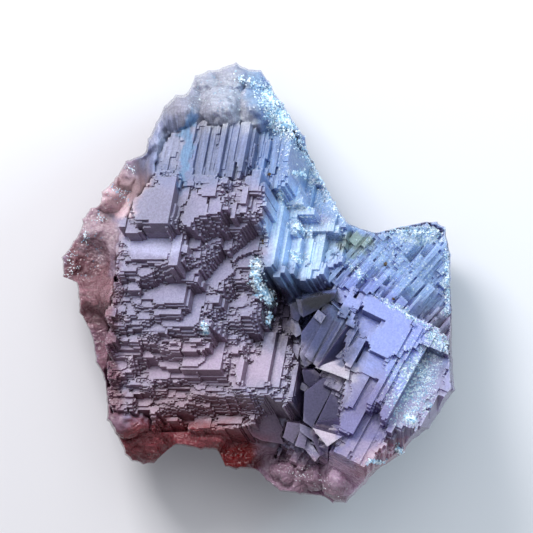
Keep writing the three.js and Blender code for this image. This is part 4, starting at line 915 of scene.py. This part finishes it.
# ---- materials ----
# Colour zones on the face, from the stepped face that everything starts as: the line that each
# zone lies along (x, y, x, y) and its half width in millimetres, then the colour of the flat
# plates, pale with a painted sheen, and of the steep sides, dark with painted shade, as display
# red, green and blue. The hue of each zone is its own.
# The flat plates' pale colour is a painted sheen, and the steep sides' dark colour is painted
# shade.
SHEEN_AND_SHADE_COLOURS = ((160, 156, 186), (112, 94, 114))
WALL_COLOUR = (146, 126, 150)  # the broken sides, below the widest outline
INSIDE_COLOUR = (200, 170, 220)  # what the light takes on under the surface
FLUORITE = {
    "IOR": 1.434, "Transmission Weight": 0.25, "Subsurface Weight": 0.5,
    "Subsurface Radius": (1.0, 0.8, 1.0), "Subsurface Scale": 0.003,
}
ZONE_WANDER = (0.35, 5.0)  # how the zones' edges wander: waves a millimetre, and millimetres
ZONE_EDGE = 0.45  # how soft the edge of a zone is, as a share of its half width
FROST_EDGE = 0.6  # the same for a frosted patch
FROST_CRYSTALS = 3.6  # frost crystals a millimetre
STREAK_SCALE = (1.8, 0.15)  # streaks a millimetre, across and along
ZONES = [
    ((-21, 14, -15, 13), 4, (146, 144, 170), (104, 92, 112)),
    # Painted light on a plate that the plate above it shades.
    ((-22, 6.6, -15, 6.6), 2, (194, 194, 228), (128, 114, 138)),
    ((1, -10, 1, -17), 2.4, (136, 134, 160), (100, 84, 104)),
    ((-24, -14, 0, -15), 4.5, (188, 170, 194), (128, 100, 118)),
    ((-20, -22, -4, -24), 4, (174, 148, 164), (106, 65, 76)),
    ((-26, -29, -4, -29), 4.5, (142, 69, 76), (124, 55, 61)),
    ((-32, 8, -29, -6), 5, (151, 113, 121), (127, 84, 92)),
    ((-31, 12, -28, 8), 3.8, (192, 168, 178), (160, 130, 142)),
    ((-26, 16, -22, 20), 4, (190, 162, 168), (160, 132, 136)),
    # Painted light in a hollow that the relief shades.
    ((-27.4, 15.4, -24.8, 14), 2.4, (246, 212, 220), (212, 178, 184)),
    ((-28, -10, -26, -24), 2.5, (136, 98, 112), (98, 64, 78)),
    ((-16, 30, 0, 33), 9, (176, 180, 194), (146, 150, 168)),
    ((-16, 32, -12, 29), 4, (156, 156, 172), (128, 130, 148)),
    ((-18, 22, 2, 23), 5, (118, 130, 166), (88, 94, 128)),
    ((-16.6, 27.5, -16.4, 24), 3, (152, 158, 186), (126, 132, 158)),
    ((-12.3, 29, -13.4, 18), 1.2, (106, 142, 180), (90, 126, 170)),
    ((1, 35, 8, 24), 4.5, (132, 162, 196), (108, 134, 180)),
    ((4, 21, 8, 15), 5, (124, 152, 198), (100, 128, 180)),
    ((6, 12, 7, 2), 5, (194, 222, 255), (162, 192, 240)),
    ((9, 22, 17, 10), 3, (138, 172, 210), (112, 144, 190)),
    ((2, 2, 7, -1), 3, (136, 160, 198), (104, 124, 160)),
    ((13, 4, 20, 2), 5, (192, 220, 248), (156, 182, 218)),
    ((12.6, 8, 15, 5), 2.6, (190, 218, 242), (154, 182, 214)),
    ((22, 4, 33, 3), 8, (158, 184, 228), (128, 152, 204)),
    ((16.5, 7, 19.5, 7.6), 1.7, (148, 168, 166), (118, 134, 134)),
    ((18, -3, 28, -16), 7, (152, 166, 230), (90, 98, 158)),
    ((31.4, -14, 29, -19), 3.4, (134, 144, 180), (100, 110, 142)),
    ((20, -22, 16, -30), 5, (124, 120, 170), (107, 94, 146)),
    ((10, -5, 14, -11), 5, (82, 88, 128), (62, 62, 92)),
    ((8, -4, 13, -3), 1.6, (80, 80, 88), (56, 56, 62)),
    ((14, -4.6, 16, -7), 1.6, (96, 112, 156), (74, 78, 112)),
    ((10, -17, 11, -25), 4, (95, 92, 124), (72, 66, 94)),
    ((3, -2, 4.5, -10), 2.5, (76, 68, 90), (48, 40, 56)),
    ((11.5, -15.4, 16, -16.6), 1.6, (196, 188, 206), (76, 69, 102)),
    ((11, -27, 13.5, -28), 1.4, (196, 182, 200), (76, 64, 92)),
    ((2, -34, 14, -38), 4.5, (166, 136, 154), (150, 118, 134)),
    ((14.6, -34, 19, -35.6), 3.4, (222, 192, 216), (206, 172, 196)),
    ((16, -31, 21, -30), 2.2, (160, 146, 180), (150, 132, 164)),
    ((-5, -31.5, -3, -31.5), 3.2, (112, 6, 10), (98, 4, 8)),
    ((33, -20, 27, -28), 3.5, (166, 164, 198), (142, 128, 162)),
    ((25, -31, 20, -33), 3, (200, 172, 190), (176, 130, 148)),
]
TURNED = MAIN[[1, 0, 2]]  # the main lattice with its first two axes swapped
# Fine streaks: the lattice whose v they run along, and the places that they cover, each as a
# line, a half width and how strong they are there.
STREAKS = [
    (MAIN, [((-15, 26, 2, 24), 6.5, 0.8), ((4, 20, 9, 6), 6, 0.8)]),
    (SLANT, [((18, 5, 34, 2), 7, 0.9)]),
    (TURNED, [((-31, 6, -28, -22), 4.5, 0.8), ((-24, -29, 2, -31), 3.5, 0.8),
              ((-16, 32, 0, 34), 5, 0.35)]),
]
# Glassy, freshly broken places, each as a line and a half width.
BROKEN = [
    ((-31, 16, -29, -16), 5.5), ((-26, -29, -2, -31), 4), ((-15, 36, -2, 34), 5.5),
    ((1, -34, 19, -35), 4.5),
]
# Frosted patches of tiny crystals, pale of their own and whitened further as painted glints:
# how densely they stand, and where, in the same form.
FROST = [
    (0.8, [((5, 13.7, 9.8, 13.5), 0.45), ((2, -5.4, 2, -7.2), 0.6),
           ((26.4, -24.8, 28.4, -24.4), 0.7), ((24.8, -29.6, 26.2, -29.8), 1),
           ((19.8, -32, 22.8, -32.2), 0.9)]),
    (0.7, [((6, 19.6, 9, 19.4), 1), ((-0.4, -1, 2.4, -3.2), 1.3)]),
    (0.6, [((6, 10.8, 9.6, 8.6), 1), ((-0.6, 3.4, -0.2, -0.6), 1.1), ((24, 9, 34, 8), 1.6),
           ((34.2, 6, 34.2, -6), 1.2)]),
    (0.5, [((1.5, 35, 6, 26), 3), ((7, 25, 16, 11), 1.8), ((6, 5.6, 9, 3.6), 1),
           ((3.4, 16, 4.6, 15), 0.9), ((-10, -8, -9, -9), 0.6), ((20.4, -2.2, 31.6, -8.6), 0.6),
           ((30.4, -21.6, 32, -22), 1)]),
    (0.4, [((31, -9, 34, -12), 2)]),
    (0.3, [((30.5, -13, 26, -22), 4.2), ((16, 4, 18, 2), 1.6)]),
    # The sparse patches from here on are painted glints alone: lone white specks.
    (-0.06, [((28, -12, 26, -26), 6)]),
    (-0.12, [((4, 28, 14, 6), 6), ((20, 6, 31, 0), 6.5)]),
    (-0.2, [((-14, 34, 0, 34), 6), ((-30, 12, -31, 0), 3.5)]),
]


def linear(colour):
    """A display colour, 0 to 255, as the linear one that a shader takes."""
    parts = [c / 255 for c in colour]
    return (*(c / 12.92 if c <= 0.04045 else ((c + 0.055) / 1.055) ** 2.4 for c in parts), 1)


class Tree:
    """Short calls for the nodes of one material."""

    def __init__(self, material):
        material.use_nodes = True
        self.nodes, self.links = material.node_tree.nodes, material.node_tree.links
        self.shader = self.nodes["Principled BSDF"]
        self.output = self.nodes["Material Output"]

    def put(self, socket, value):
        if isinstance(value, bpy.types.NodeSocket):
            self.links.new(value, socket)
        elif value is not None:
            socket.default_value = value

    def new(self, kind, *values, **settings):
        node = self.nodes.new(kind)
        for name, value in settings.items():
            setattr(node, name, value)
        for socket, value in zip(node.inputs, values):
            self.put(socket, value)
        return node

    def named(self, kind, **values):
        node = self.nodes.new(kind)
        for name, value in values.items():
            self.put(node.inputs[name], value)
        return node

    def math(self, operation, *values):
        return self.new("ShaderNodeMath", *values, operation=operation).outputs[0]

    def vector(self, operation, *values):
        node = self.new("ShaderNodeVectorMath", operation=operation)
        for k, value in enumerate(values):
            self.put(node.inputs["Scale" if operation == "SCALE" and k else k], value)
        return node.outputs["Value" if operation == "DOT_PRODUCT" else "Vector"]

    def ramp(self, value, low, high, start=0.0, end=1.0):
        node = self.new("ShaderNodeMapRange", value, low, high, start, end,
                        interpolation_type="SMOOTHSTEP")
        return node.outputs[0]

    def mix(self, share, a, b):
        node = self.new("ShaderNodeMix", data_type="RGBA")
        for name, value in (("Factor", share), ("A", a), ("B", b)):
            sockets = [s for s in node.inputs if s.name == name and s.enabled]
            self.put(sockets[0], value)
        return [s for s in node.outputs if s.enabled][0]

    def noise(self, at, scale, detail=2.0, roughness=0.5):
        return self.named("ShaderNodeTexNoise", Vector=at, Scale=scale, Detail=detail,
                          Roughness=roughness)

    def bump(self, height, strength, normal=None, distance=0.0003):
        return self.named("ShaderNodeBump", Height=height, Strength=strength, Distance=distance,
                          Normal=normal).outputs[0]

    def near_line(self, flat, line, width, edge):
        """1 in the ellipse round a line from (x, y) to (x, y), and 0 beyond its soft edge.

        flat is the vectors (x*x, x*y, y*y) and (x, y, 1), so the square of the distance, counted in
        the ellipse's own half widths, is a sum of two dot products."""
        ax, ay, bx, by = line
        mx, my = (ax + bx) / 2, (ay + by) / 2
        reach = math.hypot(bx - ax, by - ay) / 2 + width
        turn = math.atan2(by - ay, bx - ax)
        cos, sin = math.cos(turn), math.sin(turn)
        xx = (cos / reach) ** 2 + (sin / width) ** 2
        yy = (sin / reach) ** 2 + (cos / width) ** 2
        xy = cos * sin * (reach ** -2 - width ** -2)
        squares = self.vector("DOT_PRODUCT", flat[0], (xx, 2 * xy, yy))
        mid = xx * mx * mx + 2 * xy * mx * my + yy * my * my
        rest = (-2 * (xx * mx + xy * my), -2 * (xy * mx + yy * my), mid)
        square = self.math("ADD", squares, self.vector("DOT_PRODUCT", flat[1], rest))
        inner = (1 - edge) ** 2
        return self.ramp(square, inner, 2 - inner, 1.0, 0.0)


def streaks(tree, at, flat, normal):
    """Fine streaks along each crystal's own lattice: their painted light and shade, and the normal.
    """
    shade = 1.0
    for axes, places in STREAKS:
        share = 0.0
        for line, width, amount in places:
            near = tree.math("MULTIPLY", tree.near_line(flat, line, width, 0.2), amount)
            share = tree.math("MAXIMUM", share, near)
        u, v = (tree.math("MULTIPLY", tree.vector("DOT_PRODUCT", at, tuple(axis)), scale)
                for axis, scale in zip(axes, STREAK_SCALE))
        along = tree.new("ShaderNodeCombineXYZ", u, v, 0.0).outputs[0]
        stripes = tree.noise(along, 1.0, 3, 0.6).outputs[0]
        change = tree.math("MULTIPLY", tree.math("SUBTRACT", stripes, 0.5), share)
        # Painted light and shade: the colour follows the streaks' height.
        shade = tree.math("MULTIPLY_ADD", change, 2.0, shade)
        normal = tree.bump(stripes, tree.math("MULTIPLY", share, 0.5), normal)
    return shade, normal


def fluorite_material():
    material = bpy.data.materials.new("fluorite")
    tree = Tree(material)
    space = tree.new("ShaderNodeTexCoord")
    at = tree.vector("SCALE", space.outputs["Object"], 1000.0)
    facing = tree.vector("DOT_PRODUCT", space.outputs["Normal"], tuple(MAIN[2]))
    # plate is 1 on faces that look along the main face's w: these get the painted sheen, and the
    # rest get painted shade.
    plate = tree.ramp(facing, 0.5, 0.86)

    waves = tree.noise(at, ZONE_WANDER[0], 3).outputs["Color"]
    wobble = tree.vector("SUBTRACT", waves, (0.5, 0.5, 0.5))
    moved = tree.vector("ADD", at, tree.vector("SCALE", wobble, ZONE_WANDER[1]))
    moved = tree.new("ShaderNodeSeparateXYZ", moved)
    x, y = moved.outputs[0], moved.outputs[1]
    products = [tree.math("MULTIPLY", a, b) for a, b in ((x, x), (x, y), (y, y))]
    flat = [tree.new("ShaderNodeCombineXYZ", *xyz).outputs[0] for xyz in (products, (x, y, 1.0))]

    # The zones' colours, apart for the flat plates, with their painted sheen, and the steep sides,
    # with their painted shade, and the broken walls.
    sheen_colour, shade_colour = (linear(c) for c in SHEEN_AND_SHADE_COLOURS)
    for line, width, zone_sheen, zone_shade in ZONES:
        share = tree.near_line(flat, line, width, ZONE_EDGE)
        sheen_colour = tree.mix(share, sheen_colour, linear(zone_sheen))
        shade_colour = tree.mix(share, shade_colour, linear(zone_shade))
    colour = tree.mix(plate, shade_colour, sheen_colour)
    upright = tree.vector("DOT_PRODUCT", space.outputs["Normal"], (0, 0, 1))
    outer = tree.ramp(tree.vector("DOT_PRODUCT", at, (0, 0, 1)), 9, 15, 1.0, 0.0)
    wall = tree.math("MULTIPLY", tree.ramp(upright, 0.1, 0.35, 0.75, 0.0), outer)
    colour = tree.mix(wall, colour, linear(WALL_COLOUR))

    # Frost: tiny crystals where the surface faces up, pale of their own and partly painted glints.
    cells = tree.named("ShaderNodeTexVoronoi", Vector=at, Scale=FROST_CRYSTALS)
    draws = tree.new("ShaderNodeSeparateColor", cells.outputs["Color"])
    patches = 0.0
    for cover, places in FROST:
        near = 0.0
        for line, width in places:
            near = tree.math("MAXIMUM", near, tree.near_line(flat, line, width, FROST_EDGE))
        spots = tree.math("MULTIPLY_ADD", near, 1.2, draws.outputs[0])
        spots = tree.ramp(spots, 1.85 - cover, 2.05 - cover)
        patches = tree.math("MAXIMUM", patches, tree.math("MULTIPLY", near, spots))
    patches = tree.math("MULTIPLY", patches, tree.ramp(upright, 0.25, 0.55))

    # The etched and streaked surface: the etching varies the tone at random, and the streaks add
    # painted light and shade.
    etched = tree.noise(at, 2.6, 4, 0.65).outputs[0]
    great_face = tree.near_line(flat, (-12, 6, -11, -13), 13, 0.1)
    grain = tree.math("MULTIPLY_ADD", patches, 0.6, tree.ramp(great_face, 0, 1, 0.35, 0.55))
    shade, normal = streaks(tree, at, flat, tree.bump(etched, grain))
    shade = tree.math("MULTIPLY", shade, tree.ramp(etched, 0.3, 0.7, 0.85, 1.12))
    colour = tree.vector("SCALE", colour, shade)
    # The frost runs from blue to near white: its whitest cells are painted glints.
    crystals = tree.mix(draws.outputs[1], linear((110, 154, 190)), linear((240, 251, 255)))
    tree.put(tree.shader.inputs["Base Color"], tree.mix(patches, colour, crystals))

    # Broken places are glossier, and rugged.
    broken = 0.0
    for line, width in BROKEN:
        broken = tree.math("MAXIMUM", broken, tree.near_line(flat, line, width, 0.15))
    rough = tree.ramp(broken, 0, 1, 0.24, 0.1)
    tree.put(tree.shader.inputs["Roughness"], tree.math("MULTIPLY_ADD", patches, 0.15, rough))
    chips = tree.math("ABSOLUTE", tree.math("SUBTRACT", tree.noise(at, 0.8, 1).outputs[0], 0.5))
    rugged = tree.ramp(tree.vector("DOT_PRODUCT", at, (0, 1, 0)), 22, 28, 0.45, 0.2)
    normal = tree.bump(chips, tree.math("MULTIPLY", broken, rugged), normal, 0.004)
    tree.put(tree.shader.inputs["Normal"], normal)

    for name, value in FLUORITE.items():
        tree.put(tree.shader.inputs[name], value)
    absorb = tree.named("ShaderNodeVolumeAbsorption", Color=linear(INSIDE_COLOUR), Density=60.0)
    tree.put(tree.output.inputs["Volume"], absorb.outputs[0])
    return material


def plain_material(name, colour, roughness):
    material = bpy.data.materials.new(name)
    tree = Tree(material)
    tree.put(tree.shader.inputs["Base Color"], linear(colour))
    tree.put(tree.shader.inputs["Roughness"], roughness)
    return material


def crumb_material():
    material = bpy.data.materials.new("frosted_crystals")
    tree = Tree(material)
    at = tree.vector("SCALE", tree.new("ShaderNodeTexCoord").outputs["Object"], 1000.0)
    share = tree.ramp(tree.noise(at, 1.6, 2).outputs[0], 0.35, 0.65)
    skirt = tree.ramp(tree.vector("DOT_PRODUCT", at, (0.6, 0.8, 0)), -20, -12)
    dull = tree.mix(skirt, linear((204, 192, 202)), linear((142, 186, 216)))
    # The near white crumbs are partly their own frosted colour and partly painted glints.
    tree.put(tree.shader.inputs["Base Color"], tree.mix(share, dull, linear((242, 251, 255))))
    tree.put(tree.shader.inputs["Roughness"], 0.25)
    tree.put(tree.shader.inputs["IOR"], FLUORITE["IOR"])
    return material


# ---- stage, in metres ----
AIM_HEIGHT = 0.02  # where the lights point
CAMERA_HEIGHT = 2.0
FOCUS_HEIGHT = 0.026  # of the middle of the display face
PICTURE_WIDTH = 0.09594  # at that height
PICTURE_MIDDLE = (0.0015, 0.0029)


def stage():
    floor = mesh_object("floor", [(-3, -3, 0), (3, -3, 0), (3, 3, 0), (-3, 3, 0)], [(0, 1, 2, 3)])
    floor.data.materials.append(plain_material("pale_floor", (222, 222, 223), 0.7))


def softbox(name, toward, distance, size, power, colour):
    """A rectangular light that stands in the given direction and faces the specimen."""
    light = bpy.data.lights.new(name, "AREA")
    light.shape = "RECTANGLE"
    light.size, light.size_y = size
    light.energy = power
    light.color = colour
    obj = bpy.data.objects.new(name, light)
    bpy.context.scene.collection.objects.link(obj)
    obj.location = Vector(toward).normalized() * distance + Vector((0, 0, AIM_HEIGHT))
    obj.rotation_euler = (-Vector(toward)).to_track_quat("-Z", "Y").to_euler()


def lights():
    world = bpy.data.worlds.new("studio")
    bpy.context.scene.world = world
    world.use_nodes = True
    world.node_tree.nodes["Background"].inputs["Color"].default_value = (0.8, 0.83, 0.9, 1)
    world.node_tree.nodes["Background"].inputs["Strength"].default_value = 0.5
    softbox("upper_left", (-0.38, 0.66, 0.65), 0.5, (0.2, 0.2), 2.3, (1, 0.97, 1))
    softbox("above", (0.0, 0.4, 0.92), 0.6, (0.4, 0.4), 1.0, (0.92, 0.94, 1))
    softbox("right_rim", (0.85, 0.5, 0.35), 0.45, (0.2, 0.2), 1.4, (0.62, 0.86, 1))
    bpy.context.scene.view_settings.view_transform = "Standard"


def camera():
    view = bpy.data.cameras.new("camera")
    view.sensor_width = 36
    view.lens = view.sensor_width * (CAMERA_HEIGHT - FOCUS_HEIGHT) / PICTURE_WIDTH
    view.clip_start = 0.01
    obj = bpy.data.objects.new("camera", view)
    bpy.context.scene.collection.objects.link(obj)
    obj.location = (*PICTURE_MIDDLE, CAMERA_HEIGHT)
    bpy.context.scene.camera = obj


camera()
stage()
lights()
body = specimen()
crumbs = scatter("crumbs", body, CRUMBS, random.Random(SEED))
grains = scatter("grains", body, GRAINS, random.Random(SEED))
crystal_cluster = place(body, "fluorite_cluster", fluorite_material())
place(crumbs, "fluorite_crumbs", crumb_material())
place(grains, "dirt_grains", plain_material("brown_dirt", (78, 62, 42), 0.8))
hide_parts(NODE)
